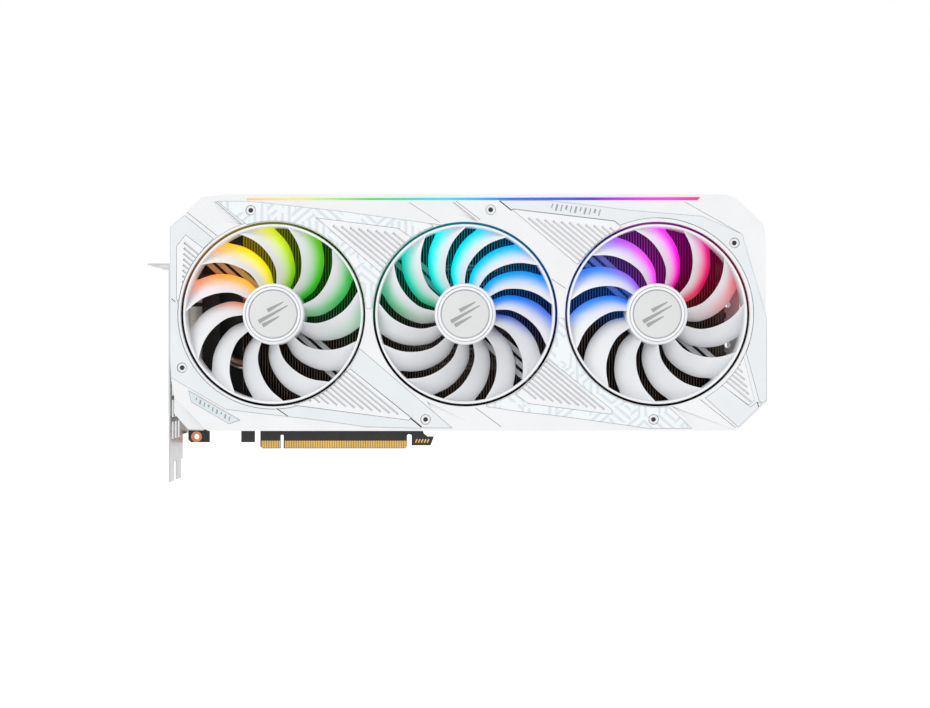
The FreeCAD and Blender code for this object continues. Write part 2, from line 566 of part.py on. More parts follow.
def build_fan(place, name, blades, hand, first):
    """One fan: a turning rotor with its cap, shaft and magnets, and a fixed frame with the coils."""
    across, up = fan_centre(place)
    centre = Vector(across[1], 0, up[1])
    rotor = solid(f"{name}_rotor_shape", rotor_shape(blades, hand, first))
    rotor.Placement = Placement(centre, Rotation())
    keep(rotor, f"{name}_rotor")
    keep(rod(f"{name}_cap_shape", across[0], up[0], "dims.hub_front",
             "dims.hub_front + dims.cap_thick", "dims.cap_radius"), f"{name}_hub_cap")
    keep(rod(f"{name}_shaft_shape", across[0], up[0], "dims.hub_front + dims.cap_thick",
             "dims.shaft_back", "dims.shaft_radius"), f"{name}_shaft")

    magnet_out = rod(f"{name}_magnet_out", across[0], up[0], "dims.magnet_front", "dims.hub_back",
                     "dims.hub_radius - dims.hub_wall - 0.05")
    magnet_in = rod(f"{name}_magnet_in", across[0], up[0], "dims.magnet_front - 1",
                    "dims.hub_back + 1", "dims.hub_radius - dims.hub_wall - dims.magnet_thick")
    keep(cut(f"{name}_magnet_cut", magnet_out, [magnet_in]), f"{name}_magnet_ring")

    coil = rod(f"{name}_coil", across[0], up[0], "dims.coil_front", "dims.frame_front - 0.6",
               "dims.coil_radius")
    coil_hole = rod(f"{name}_coil_hole", across[0], up[0], "dims.coil_front - 1",
                    "dims.frame_front + 1", "dims.barrel_radius + 0.05")
    keep(cut(f"{name}_coil_cut", coil, [coil_hole]), f"{name}_coils")

    disc = rod(f"{name}_disc", across[0], up[0], "dims.frame_front", "dims.frame_back",
               "dims.hub_radius")
    barrel = rod(f"{name}_barrel", across[0], up[0], "dims.barrel_front", "dims.frame_front + 1",
                 "dims.barrel_radius")
    arms = []
    bars = [(angle, shift) for angle in ARM_DIRECTIONS for shift in (-1, 0, 1)]
    for index, (angle, shift) in enumerate(bars):
        arm = doc.addObject("Part::Box", f"{name}_arm_{index}")
        arm.Placement = Placement(Vector(0, 0, 0), Rotation(Vector(0, -1, 0), angle))
        edge = f"(dims.arm_wide / 2 - {shift} * dims.arm_pitch)"
        bind(arm, Length="dims.arm_end", Width="dims.frame_back - dims.frame_front",
             Height="dims.arm_wide", Placement__Base__x=f"{across[0]} + {edge} * sin({angle} deg)",
             Placement__Base__y="dims.frame_front",
             Placement__Base__z=f"{up[0]} - {edge} * cos({angle} deg)")
        arms.append(arm)
    bore = rod(f"{name}_bore", across[0], up[0], "dims.barrel_front - 1", "dims.shaft_back + 0.1",
               "dims.shaft_radius + dims.bearing_gap")
    spider = join(f"{name}_spider", [disc, barrel] + arms)
    keep(cut(f"{name}_frame_cut", spider, [bore]), f"{name}_frame")


# ---------------------------------------------------------------- bracket and ports

def build_bracket():
    """Two-slot sheet bracket with port cut-outs, vent slots, a folded top tab and two tails."""
    sheet_wide = "dims.bracket_inner - dims.bracket_outer"
    face = box("bracket_face", "dims.bracket_outer", "dims.bracket_near", "dims.foot_top",
               sheet_wide, "dims.bracket_far - dims.bracket_near",
               "dims.bracket_top - dims.foot_top")
    foot = box("bracket_foot", "dims.bracket_outer", "dims.bracket_near", "dims.bracket_low",
               sheet_wide, "dims.foot_far - dims.bracket_near",
               "dims.foot_top - dims.bracket_low + 1")
    tab = box("bracket_tab", "dims.bracket_outer - dims.tab_deep", "dims.bracket_near",
              "dims.bracket_top - 1", "dims.tab_deep + 0.5",
              "dims.bracket_far - dims.bracket_near", "1")
    tails = []
    notches = []
    for place in range(2):
        middle = f"(-6 - {place} * dims.slot_pitch)"
        tails.append(box(f"tail_{place}", "dims.bracket_outer",
                         f"dims.bracket_near + {place} * dims.tail_pitch", "dims.tail_tip",
                         sheet_wide, "dims.tail_wide", "dims.bracket_low - dims.tail_tip + 1"))
        notches.append(box(f"tab_notch_{place}", "dims.bracket_outer - dims.tab_deep - 1",
                           f"{middle} - 7.2", "dims.bracket_top - 2", "6.5", "4.4", "3"))
    ports = []
    for place, (height, width, thick) in enumerate(PORTS):
        ports.append(box(f"port_hole_{place}", "dims.bracket_outer - 1",
                         f"dims.port_middle - {thick / 2 + 0.1}", f"{height - width / 2 - 0.1}",
                         "4", f"{thick + 0.2}", f"{width + 0.2}"))
    vents = [box(f"bracket_vent_{row}_{column}", "dims.bracket_outer - 1",
                 f"dims.bracket_near + 3.5 + {column * 6.2}", f"{8 + row * 12.0}", "4", "4.4", "9.5")
             for row in range(8) for column in range(3)]
    keep(cut("bracket_cut", join("bracket_whole", [face, foot, tab] + tails), notches + ports + vents),
         "io_bracket")


def build_ports():
    """Steel port shells flush with the bracket, each with its contact tongue."""
    shells = {"displayport_sockets": [], "hdmi_sockets": []}
    for place, (height, width, thick) in enumerate(PORTS):
        outside = box(f"port_{place}", "dims.bracket_outer", f"dims.port_middle - {thick / 2}",
                      f"{height - width / 2}", "dims.port_depth", f"{thick}", f"{width}")
        inside = box(f"port_mouth_{place}", "dims.bracket_outer - 1",
                     f"dims.port_middle - {thick / 2 - 0.5}", f"{height - width / 2 + 0.5}",
                     "dims.port_depth - 0.5", f"{thick - 1}", f"{width - 1}")
        tongue = box(f"port_tongue_{place}", "dims.bracket_outer + 2.5", "dims.port_middle - 0.5",
                     f"{height - width / 2 + 2}", "dims.port_depth - 3", "1", f"{width - 4}")
        shell = cut(f"port_shell_{place}", outside, [inside])
        kind = "displayport_sockets" if width > 16 else "hdmi_sockets"
        shells[kind].append(join(f"port_whole_{place}", [shell, tongue]))
    for label, pieces in shells.items():
        keep(group(f"{label}_group", pieces), label)
    screws = [rod(f"bracket_screw_{index}", "-41", f"{z}", "-1.2", "dims.board_front", "2.2")
              for index, z in enumerate((27.8, 104.0))]
    keep(group("bracket_screw_set", screws), "bracket_screws")


# ---------------------------------------------------------------- rear

def build_rear():
    """Backplate with its open window, the sprung cross behind the processor, and the screws."""
    holes = [((f"{x}", x), (f"{z}", z), cell("hole_radius")) for x, z in BOARD_SCREWS]
    plate = flat_body("rear_plate", "back_front", "back_back", ["backplate", "window"], holes)
    opening = box("cross_opening", "dims.gpu_middle - 31", "dims.back_front - 1",
                  "dims.gpu_height - 31", "62", "4", "62")
    slits = [box(f"rear_slit_{index}", f"{-40 + 9 * index}", "dims.back_front - 1", "24", "3", "4", "34")
             for index in range(8)]
    sinks = [rod(f"rear_sink_{index}", f"{x}", f"{z}", "dims.back_back - dims.peg_sink",
                 "dims.back_back + 1", "dims.peg_head + 0.1")
             for index, (x, z) in enumerate(BOARD_SCREWS)]
    keep(cut("rear_plate_cut", plate, [opening] + slits + sinks), "backplate")

    arms = []
    for index, angle in enumerate((45, 135)):
        arm = doc.addObject("Part::Box", f"cross_arm_{index}")
        arm.Placement = Placement(Vector(0, 0, 0), Rotation(Vector(0, -1, 0), angle))
        bind(arm, Length="74", Width="dims.cross_back - dims.cross_front", Height="9",
             Placement__Base__x=f"dims.gpu_middle - 37 * cos({angle} deg) + 4.5 * sin({angle} deg)",
             Placement__Base__y="dims.cross_front",
             Placement__Base__z=f"dims.gpu_height - 37 * sin({angle} deg) - 4.5 * cos({angle} deg)")
        arms.append(arm)
    keep(join("cross", arms), "spring_cross")

    reach = 23.0
    corners = [(x, z) for x in (-reach, reach) for z in (-reach, reach)]
    posts = [rod(f"cross_screw_{index}", f"dims.gpu_middle + {x}", f"dims.gpu_height + {z}",
                 "dims.cross_back", "dims.cross_back + 1.8", "3.0")
             for index, (x, z) in enumerate(corners)]
    keep(group("cross_screws", posts), "spring_screws")

    pegs = []
    for index, (x, z) in enumerate(BOARD_SCREWS):
        head = rod(f"rear_head_{index}", f"{x}", f"{z}", "dims.back_back - dims.peg_sink",
                   "dims.back_back - 0.1", "dims.peg_head")
        stem = rod(f"rear_stem_{index}", f"{x}", f"{z}", "dims.board_front",
                   "dims.back_back - 0.5", "dims.peg_radius")
        pegs.append(join(f"rear_peg_{index}", [head, stem]))
    keep(group("rear_pegs", pegs), "backplate_screws")
    spacers = []
    for index, (x, z) in enumerate(BOARD_SCREWS):
        outside = rod(f"spacer_{index}", f"{x}", f"{z}", "dims.board_back", "dims.back_front", "3.2")
        inside = rod(f"spacer_bore_{index}", f"{x}", f"{z}", "dims.board_back - 1",
                     "dims.back_front + 1", "dims.hole_radius")
        spacers.append(cut(f"spacer_ring_{index}", outside, [inside]))
    keep(group("spacer_set", spacers), "backplate_spacers")


def check_and_export():
    """Stop on any failed object or bad shape, then write one STEP file for each sub-part."""
    doc.recompute()
    failed = [item.Name for item in doc.Objects
              if "Invalid" in item.State or "Error" in item.State]
    if failed:
        raise RuntimeError(f"failed objects: {failed}")
    for item in exported:
        if item.Shape.isNull() or not item.Shape.isValid():
            raise RuntimeError(f"bad shape: {item.Label}")
    for item in exported:
        item.Shape.exportStep(os.path.join("parts", f"{item.Label}.step"))
        print(f"{item.Label}: {len(item.Shape.Solids)} solids, {item.Shape.Volume:.1f} mm3")


fill_sheet()
build_board()
build_chips()
build_sockets()
build_fins()
build_pipes()
build_cold_plate()
build_shroud()
for order, (fan_name, blade_count, sweep_hand, first_turn) in enumerate(FANS):
    build_fan(order, fan_name, blade_count, sweep_hand, first_turn)
build_bracket()
build_ports()
build_rear()
check_and_export()
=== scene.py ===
import json
import math

import bmesh
import bpy
from mathutils import Matrix, Vector


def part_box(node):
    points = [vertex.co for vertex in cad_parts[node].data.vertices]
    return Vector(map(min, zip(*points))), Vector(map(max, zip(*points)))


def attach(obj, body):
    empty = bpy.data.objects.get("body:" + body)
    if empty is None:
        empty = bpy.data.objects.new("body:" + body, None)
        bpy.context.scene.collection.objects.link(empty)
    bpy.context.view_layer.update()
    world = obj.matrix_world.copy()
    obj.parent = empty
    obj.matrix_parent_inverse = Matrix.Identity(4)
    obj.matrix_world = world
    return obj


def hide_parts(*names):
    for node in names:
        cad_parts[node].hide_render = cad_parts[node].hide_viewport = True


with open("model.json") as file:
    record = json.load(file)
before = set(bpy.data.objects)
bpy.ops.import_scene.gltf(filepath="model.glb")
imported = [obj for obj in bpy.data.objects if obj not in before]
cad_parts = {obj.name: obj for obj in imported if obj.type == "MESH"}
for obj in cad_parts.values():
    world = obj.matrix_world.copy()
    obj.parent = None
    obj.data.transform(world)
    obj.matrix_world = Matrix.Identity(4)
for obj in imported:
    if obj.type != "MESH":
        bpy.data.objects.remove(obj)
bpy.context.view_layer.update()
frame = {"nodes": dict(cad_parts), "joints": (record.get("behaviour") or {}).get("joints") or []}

MM = 0.001
NODES = frame["nodes"]
SCENE = bpy.context.scene

# Depths (Y, in mm). Those of the cover, its light bar and the fins come from the frame. Panels and
# recesses are set back from the face, and cutters start and end clear of it.
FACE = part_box("front_shroud")[0].y / MM
FACE_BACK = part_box("light_bar")[1].y / MM
WALL_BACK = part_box("front_shroud")[1].y / MM
FIN_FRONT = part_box("fin_stack")[0].y / MM
WALL_STEP = -41.0
COLLAR_BACK = -39.5
CUT_FRONT = FACE - 5
CUT_BACK = FACE_BACK + 5
PANEL_FRONT = FACE + 0.05
BASE_FRONT = FACE + 0.40
SEAT = FACE + 1.10

FANS = {}
for joint in frame["joints"]:
    if joint["type"] == "hinge":
        FANS[joint["child"]] = (joint["pos_m"][0] / MM, joint["pos_m"][2] / MM)
BLADES = {"fan_left": (11, 1), "fan_center": (13, -1), "fan_right": (11, 1)}
ROTOR_RADIUS = (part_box("fan_left_rotor")[1].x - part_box("fan_left_rotor")[0].x) / MM / 2
HUB_RADIUS = 16.4
RING_RADIUS = ROTOR_RADIUS - 0.15
OPENING_RADIUS = ROTOR_RADIUS + 1.1
LEFT, MIDDLE, RIGHT = (FANS[name] for name in ("fan_left", "fan_center", "fan_right"))

# Depth of the fine grain in bump maps, in metres.
GRAIN_DEPTH = 0.00004

# Direction of each rotor's first blade, in degrees.
START = {"fan_left": 8.97, "fan_center": 16.4, "fan_right": 1.17}

# Painted light by direction from a fan's centre: 0 points right, 0.5 up and 1 left (share of a half turn).
# HUES gives its colour and REACH its strength. On the colour ramps, RIGHTWARD is where 0 lies and
# HALF_TURN is how far 1 lies from it, so that directions below the centre fit on the ramp too.
RIGHTWARD = 0.15
HALF_TURN = 0.8
HUES = {
    "fan_left": [(0.0, (0.0, 0.38, 0.08)), (0.16, (0.0, 0.36, 0.01)), (0.34, (0.10, 0.44, 0.0)),
                 (0.50, (0.56, 0.68, 0.0)), (0.62, (0.88, 0.66, 0.0)), (0.74, (1.0, 0.42, 0.05)),
                 (0.88, (0.95, 0.22, 0.06)), (1.0, (0.55, 0.06, 0.02))],
    "fan_center": [(0.0, (0.0, 0.09, 0.62)), (0.15, (0.0, 0.25, 0.86)), (0.32, (0.0, 0.46, 0.96)),
                   (0.48, (0.0, 0.68, 0.95)), (0.62, (0.0, 0.80, 0.84)), (0.76, (0.0, 0.58, 0.46)),
                   (0.9, (0.0, 0.40, 0.20)), (1.0, (0.0, 0.28, 0.06))],
    "fan_right": [(0.0, (0.62, 0.02, 0.02)), (0.14, (0.62, 0.0, 0.06)), (0.27, (0.62, 0.0, 0.16)),
                  (0.38, (0.86, 0.0, 0.60)), (0.52, (0.88, 0.06, 0.92)), (0.64, (0.42, 0.10, 0.92)),
                  (0.78, (0.03, 0.20, 0.90)), (1.0, (0.0, 0.20, 0.95))],
}
REACH = {
    "fan_left": [(-0.14, 0.0), (-0.04, 0.30), (0.06, 0.9), (0.2, 1.0), (0.8, 1.0), (0.9, 0.6), (0.99, 0.0)],
    "fan_center": [(-0.12, 0.0), (0.0, 0.8), (0.1, 1.0), (0.85, 1.0), (0.97, 0.75), (1.06, 0.0)],
    "fan_right": [(-0.04, 0.0), (0.07, 0.5), (0.17, 1.0), (0.86, 1.0), (0.98, 0.85), (1.09, 0.0)],
}


# ---------------------------------------------------------------- node materials

def new_material(name):
    """A node material, its node tree and its Principled shader."""
    material = bpy.data.materials.new(name)
    material.use_nodes = True
    tree = material.node_tree
    shader = tree.nodes["Principled BSDF"]
    return material, tree, shader


def add(tree, kind, **settings):
    """Add a node; settings are its properties, or its sockets when given as in_NAME."""
    node = tree.nodes.new(kind)
    for key, value in settings.items():
        if key.startswith("in_"):
            node.inputs[key[3:].replace("_", " ")].default_value = value
        else:
            setattr(node, key, value)
    return node


def ramp(tree, stops, source=None):
    """A colour ramp from (position, colour) stops."""
    node = tree.nodes.new("ShaderNodeValToRGB")
    node.color_ramp.interpolation = "LINEAR"
    elements = node.color_ramp.elements
    elements[0].position, elements[0].color = stops[0][0], (*stops[0][1], 1)
    elements[1].position, elements[1].color = stops[-1][0], (*stops[-1][1], 1)
    for position, colour in stops[1:-1]:
        element = elements.new(position)
        element.color = (*colour, 1)
    if source is not None:
        tree.links.new(source, node.inputs["Fac"])
    return node


def grey(value):
    """A neutral colour."""
    return (value, value, value)


def mix_colour(tree, factor, first, second, blend="MIX"):
    """Mix two colours; each of the three inputs is a socket or a value."""
    node = tree.nodes.new("ShaderNodeMix")
    node.data_type = "RGBA"
    node.blend_type = blend
    for index, value in ((0, factor), (6, first), (7, second)):
        if isinstance(value, bpy.types.NodeSocket):
            tree.links.new(value, node.inputs[index])
        elif index == 0:
            node.inputs[index].default_value = value
        else:
            node.inputs[index].default_value = (*value, 1)
    return node.outputs[2]


def calculate(tree, operation, first, second=0.0, clamp=False):
    """A Math node on sockets or values."""
    node = tree.nodes.new("ShaderNodeMath")
    node.operation = operation
    node.use_clamp = clamp
    for index, value in ((0, first), (1, second)):
        if isinstance(value, bpy.types.NodeSocket):
            tree.links.new(value, node.inputs[index])
        else:
            node.inputs[index].default_value = value
    return node.outputs[0]


def object_place(tree, stretch=(1, 1, 1), turn=(0, 0, 0)):
    """Object coordinates, stretched and turned."""
    place = add(tree, "ShaderNodeTexCoord")
    mapping = add(tree, "ShaderNodeMapping", in_Scale=stretch, in_Rotation=turn)
    tree.links.new(place.outputs["Object"], mapping.inputs["Vector"])
    return mapping.outputs["Vector"]


def noise(tree, scale, detail=3.0, rough=0.55, **place):
    """Noise in the object's own space."""
    node = add(tree, "ShaderNodeTexNoise", in_Scale=scale, in_Detail=detail, in_Roughness=rough)
    tree.links.new(object_place(tree, **place), node.inputs["Vector"])
    return node.outputs["Fac"]


def bump(tree, shader, height, strength, distance=GRAIN_DEPTH):
    """Bump from a height socket."""
    node = add(tree, "ShaderNodeBump", in_Strength=strength, in_Distance=distance)
    tree.links.new(height, node.inputs["Height"])
    tree.links.new(node.outputs["Normal"], shader.inputs["Normal"])


def uneven_gloss(tree, shader, rough, spread, source):
    """Roughness that varies by a spread either side of its middle value."""
    gloss = ramp(tree, [(0.25, grey(rough - spread)), (0.75, grey(rough + spread))], source)
    tree.links.new(gloss.outputs["Color"], shader.inputs["Roughness"])


def surface(name, colour, rough, metal=0.0, tint=0.03, grain=2600.0, grain_strength=0.1,
            stretch=(1, 1, 1)):
    """A moulded, painted or metal surface: grain, soft colour drift and uneven gloss."""
    material, tree, shader = new_material(name)
    drift = noise(tree, 55.0, 4.0)
    dark = tuple(max(0.0, part * (1 - tint)) for part in colour)
    light = tuple(min(1.0, part * (1 + tint * 0.4)) for part in colour)
    tone = ramp(tree, [(0.3, dark), (0.7, light)], drift)
    tree.links.new(tone.outputs["Color"], shader.inputs["Base Color"])
    uneven_gloss(tree, shader, rough, 0.06, noise(tree, 240.0, 5.0, stretch=stretch))
    shader.inputs["Metallic"].default_value = metal
    bump(tree, shader, noise(tree, grain, 2.0, stretch=stretch), grain_strength)
    return material


def stroke_pattern(name, ground, stroke, scale=120.0, lines=86.0):
    """White paint printed with broken strokes in three directions, a different one in each cell."""
    material, tree, shader = new_material(name)
    place = object_place(tree)
    cells = add(tree, "ShaderNodeTexVoronoi", in_Scale=scale, in_Randomness=0.9, distance="CHEBYCHEV")
    flat = add(tree, "ShaderNodeMapping", in_Scale=(1, 0.0, 1))
    tree.links.new(place, flat.inputs["Vector"])
    tree.links.new(flat.outputs["Vector"], cells.inputs["Vector"])
    choice = add(tree, "ShaderNodeSeparateColor")
    tree.links.new(cells.outputs["Color"], choice.inputs["Color"])
    masks = []
    for turn in (0.0, math.radians(50), math.radians(-50)):
        bands = add(tree, "ShaderNodeTexWave", bands_direction="X", in_Scale=lines)
        turned = add(tree, "ShaderNodeMapping", in_Rotation=(0, turn, 0))
        tree.links.new(flat.outputs["Vector"], turned.inputs["Vector"])
        tree.links.new(turned.outputs["Vector"], bands.inputs["Vector"])
        masks.append(calculate(tree, "GREATER_THAN", bands.outputs["Fac"], 0.62))
    first = calculate(tree, "LESS_THAN", choice.outputs["Red"], 0.45)
    second = calculate(tree, "GREATER_THAN", choice.outputs["Red"], 0.72)
    share_a = calculate(tree, "MULTIPLY", masks[0], first)
    share_b = calculate(tree, "MULTIPLY", masks[1], second)
    neither = calculate(tree, "SUBTRACT", 1.0, calculate(tree, "ADD", first, second), clamp=True)
    share_c = calculate(tree, "MULTIPLY", masks[2], neither)
    strokes = calculate(tree, "ADD", share_a, calculate(tree, "ADD", share_b, share_c), clamp=True)
    present = calculate(tree, "GREATER_THAN", choice.outputs["Green"], 0.18)
    strokes = calculate(tree, "MULTIPLY", strokes, present)
    colour = mix_colour(tree, strokes, ground, stroke)
    tree.links.new(colour, shader.inputs["Base Color"])
    gloss = ramp(tree, [(0.0, grey(0.46)), (1.0, grey(0.34))], strokes)
    tree.links.new(gloss.outputs["Color"], shader.inputs["Roughness"])
    bump(tree, shader, noise(tree, 2600.0, 2.0), 0.08)
    return material


def rainbow(name, left, right, strength):
    """The light bar: hue runs along X from orange to crimson."""
    material, tree, shader = new_material(name)
    place = add(tree, "ShaderNodeTexCoord")
    axes = add(tree, "ShaderNodeSeparateXYZ")
    tree.links.new(place.outputs["Object"], axes.inputs["Vector"])
    along = add(tree, "ShaderNodeMapRange")
    along.inputs["From Min"].default_value = left * MM
    along.inputs["From Max"].default_value = right * MM
    tree.links.new(axes.outputs["X"], along.inputs["Value"])
    stops = [(0.0, (0.85, 0.36, 0.04)), (0.09, (0.70, 0.50, 0.03)), (0.17, (0.30, 0.55, 0.03)),
             (0.27, (0.03, 0.42, 0.06)), (0.36, (0.0, 0.42, 0.26)), (0.44, (0.0, 0.42, 0.62)),
             (0.58, (0.0, 0.10, 0.55)), (0.76, (0.04, 0.01, 0.45)), (0.85, (0.42, 0.0, 0.58)),
             (0.93, (0.75, 0.01, 0.45)), (1.0, (0.70, 0.01, 0.10))]
    hue = ramp(tree, stops, along.outputs["Result"])
    tree.links.new(hue.outputs["Color"], shader.inputs["Emission Color"])
    tree.links.new(hue.outputs["Color"], shader.inputs["Base Color"])
    shader.inputs["Emission Strength"].default_value = strength
    shader.inputs["Roughness"].default_value = 0.25
    shader.inputs["Coat Weight"].default_value = 0.4
    bump(tree, shader, noise(tree, 900.0, 2.0), 0.1, 0.00005)
    return material


def painted_fan_light(tree, name):
    """Hue and strength of the painted light behind one fan, by direction from the fan's centre."""
    centre = FANS[name]
    place = add(tree, "ShaderNodeNewGeometry")
    axes = add(tree, "ShaderNodeSeparateXYZ")
    tree.links.new(place.outputs["Position"], axes.inputs["Vector"])
    left = calculate(tree, "SUBTRACT", centre[0] * MM, axes.outputs["X"])
    upward = calculate(tree, "SUBTRACT", axes.outputs["Z"], centre[1] * MM)
    from_top = calculate(tree, "ARCTAN2", left, upward)
    scaled = calculate(tree, "MULTIPLY", from_top, HALF_TURN / math.pi)
    turn = calculate(tree, "ADD", scaled, RIGHTWARD + HALF_TURN / 2)
    hue = ramp(tree, [(RIGHTWARD + HALF_TURN * way, colour) for way, colour in HUES[name]], turn)
    reach = ramp(tree, [(RIGHTWARD + HALF_TURN * way, grey(share)) for way, share in REACH[name]], turn)
    return hue.outputs["Color"], reach.outputs["Color"], axes.outputs["X"]


def painted_glow_blades(name):
    """White blades painted with the coloured light from behind the upper half of their fan, in base colour
    and emission.

    The light's strength follows each blade's `deep` attribute, from 0 at the front edge to 1 at
    the edge nearest the lights.
    """
    material, tree, shader = new_material(name + "_blade_painted_glow")
    hue, reach, _ = painted_fan_light(tree, name)
    deep = add(tree, "ShaderNodeAttribute", attribute_name="deep")
    near_edge = add(tree, "ShaderNodeMapRange", interpolation_type="SMOOTHSTEP")
    near_edge.inputs["From Min"].default_value = 0.12
    near_edge.inputs["From Max"].default_value = 0.92
    tree.links.new(deep.outputs["Fac"], near_edge.inputs["Value"])
    weight = calculate(tree, "MULTIPLY", near_edge.outputs["Result"], reach)
    drift = ramp(tree, [(0.3, (0.70, 0.71, 0.73)), (0.7, (0.74, 0.75, 0.765))], noise(tree, 50.0, 3.0))
    # Painted light: towards the deep edge the colour turns to the light's hue, which is also given off as
    # emission, so the blades glow.
    base = mix_colour(tree, weight, drift.outputs["Color"], hue)
    tree.links.new(base, shader.inputs["Base Color"])
    light = mix_colour(tree, weight, grey(0.0), hue)
    tree.links.new(light, shader.inputs["Emission Color"])
    shader.inputs["Emission Strength"].default_value = 0.52
    shader.inputs["Roughness"].default_value = 0.42
    bump(tree, shader, noise(tree, 2200.0, 2.0), 0.06)
    return material


def painted_glow_behind(name, colour, rough, metal, strength, front=None, fade=5.0):
    """A dark or grey surface behind the fans, painted with the light of the fan it faces: tinted and
    darkened colour, and emission.

    With a front depth, the painted light fades out over a few millimetres behind it.
    """
    material, tree, shader = new_material(name)
    light = None
    for fan in FANS:
        hue, reach, across = painted_fan_light(tree, fan)
        here = mix_colour(tree, reach, grey(0.0), hue)
        if light is None:
            light, share = here, reach
            continue
        border = (FANS[fan][0] - (RIGHT[0] - MIDDLE[0]) / 2) * MM
        past = calculate(tree, "GREATER_THAN", across, border)
        light = mix_colour(tree, past, light, here)
        share = mix_colour(tree, past, share, reach)
    if front is not None:
        place = add(tree, "ShaderNodeNewGeometry")
        axes = add(tree, "ShaderNodeSeparateXYZ")
        tree.links.new(place.outputs["Position"], axes.inputs["Vector"])
        near = add(tree, "ShaderNodeMapRange")
        near.inputs["From Min"].default_value = (front + fade) * MM
        near.inputs["From Max"].default_value = front * MM
        tree.links.new(axes.outputs["Y"], near.inputs["Value"])
        depth = calculate(tree, "ADD", calculate(tree, "MULTIPLY", near.outputs["Result"], 0.94), 0.06)
        light = mix_colour(tree, depth, grey(0.0), light)
    drift = ramp(tree, [(0.3, tuple(part * 0.7 for part in colour)), (0.7, colour)], noise(tree, 120.0, 4.0))
    # Painted light: where it reaches, the colour is multiplied by the light's hue, tinting and darkening it,
    # and the hue is given off as emission.
    glow_tinted = mix_colour(tree, 1.0, drift.outputs["Color"], mix_colour(tree, 0.25, light, grey(0.5)),
                         "MULTIPLY")
    base = mix_colour(tree, share, drift.outputs["Color"], glow_tinted)
    tree.links.new(base, shader.inputs["Base Color"])
    tree.links.new(light, shader.inputs["Emission Color"])
    shader.inputs["Emission Strength"].default_value = strength
    shader.inputs["Metallic"].default_value = metal
    uneven_gloss(tree, shader, rough, 0.08, noise(tree, 300.0, 4.0))
    bump(tree, shader, noise(tree, 1800.0, 2.0), 0.15)
    return material


WHITE = surface("white_plastic", (0.70, 0.705, 0.715), 0.42)
COOL = surface("cool_white_paint", (0.645, 0.672, 0.69), 0.38)
INSERT = surface("insert_plastic", (0.71, 0.714, 0.725), 0.46)
PRINTED = stroke_pattern("printed_paint", (0.70, 0.73, 0.745), (0.57, 0.62, 0.645))
DARK_PLASTIC = surface("dark_plastic", (0.012, 0.012, 0.013), 0.5, tint=0.3)
BOARD = surface("solder_mask", (0.012, 0.013, 0.014), 0.36, tint=0.3, grain=900.0)
GOLD = surface("gold_plate", (0.86, 0.52, 0.13), 0.24, metal=1.0, tint=0.15)
COPPER = surface("bare_copper", (0.9, 0.30, 0.10), 0.28, metal=1.0, tint=0.12)
NICKEL = surface("nickel_plate", (0.60, 0.56, 0.52), 0.3, metal=1.0, tint=0.1)
PIPE = surface("pipe_metal", (0.50, 0.40, 0.33), 0.28, metal=1.0, tint=0.15, stretch=(0.1, 1, 1))
STEEL = surface("brushed_steel", (0.56, 0.57, 0.58), 0.34, metal=1.0, tint=0.12, stretch=(1, 1, 0.05))
SCREW = surface("screw_steel", (0.74, 0.74, 0.75), 0.34, metal=0.75, tint=0.06)
# Black fins with painted fan glow on their front, fading out behind it.
BLACK_FIN = painted_glow_behind("anodised_fins", (0.11, 0.08, 0.062), 0.36, 0.6, 0.22, FIN_FRONT)
DARK_METAL = surface("dark_metal", (0.05, 0.048, 0.046), 0.4, metal=0.6, tint=0.2)
CAP = surface("cap_metal", (0.60, 0.605, 0.605), 0.42, metal=0.1, tint=0.02)
MARK = surface("mark_grey", (0.30, 0.30, 0.31), 0.4, metal=0.2, tint=0.05)
# Grey fan frames with painted fan glow.
GREY = painted_glow_behind("grey_plastic", (0.50, 0.51, 0.53), 0.4, 0.0, 0.16)
# Collars round the openings: near black as painted shade in the gap round each rotor, with painted fan glow.
SHADOW_COLLAR = painted_glow_behind("collar_painted_shadow", (0.014, 0.014, 0.015), 0.5, 0.0, 0.22)
CHIP = surface("chip_black", (0.03, 0.03, 0.033), 0.55, tint=0.2)
CHOKE = surface("choke_grey", (0.10, 0.10, 0.105), 0.6, tint=0.25, grain=1200.0, grain_strength=0.3)
GREEN = surface("substrate_green", (0.02, 0.11, 0.05), 0.4, tint=0.15)
SILICON = surface("silicon", (0.25, 0.25, 0.29), 0.12, metal=1.0, tint=0.05)
PAD = surface("thermal_pad", (0.36, 0.42, 0.52), 0.8, tint=0.1, grain=1500.0, grain_strength=0.4)
MAGNET = surface("magnet", (0.06, 0.06, 0.062), 0.6, tint=0.2)
WIRE = surface("coil_wire", (0.62, 0.26, 0.10), 0.35, metal=0.9, tint=0.2, stretch=(1, 8, 1))
PLATE = stroke_pattern("backplate_paint", (0.60, 0.61, 0.62), (0.44, 0.455, 0.47), scale=34.0, lines=30.0)
BADGE = surface("badge_metal", (0.62, 0.68, 0.72), 0.3, metal=0.5, tint=0.05)
SHADE = surface("groove_shade", (0.40, 0.415, 0.43), 0.6)
SOFT_SHADE = surface("louvre_shade", (0.66, 0.67, 0.685), 0.55)
SLOT = surface("slot_shadow", (0.035, 0.036, 0.038), 0.7, tint=0.2)


# ---------------------------------------------------------------- mesh helpers

def soften(piece, width, angle):
    """Bevel the edges sharper than an angle in degrees; the width is in mm."""
    edges = piece.modifiers.new("soft_edges", "BEVEL")
    edges.width = width * MM
    edges.segments = 2
    edges.limit_method = "ANGLE"
    edges.angle_limit = math.radians(angle)
    edges.harden_normals = False


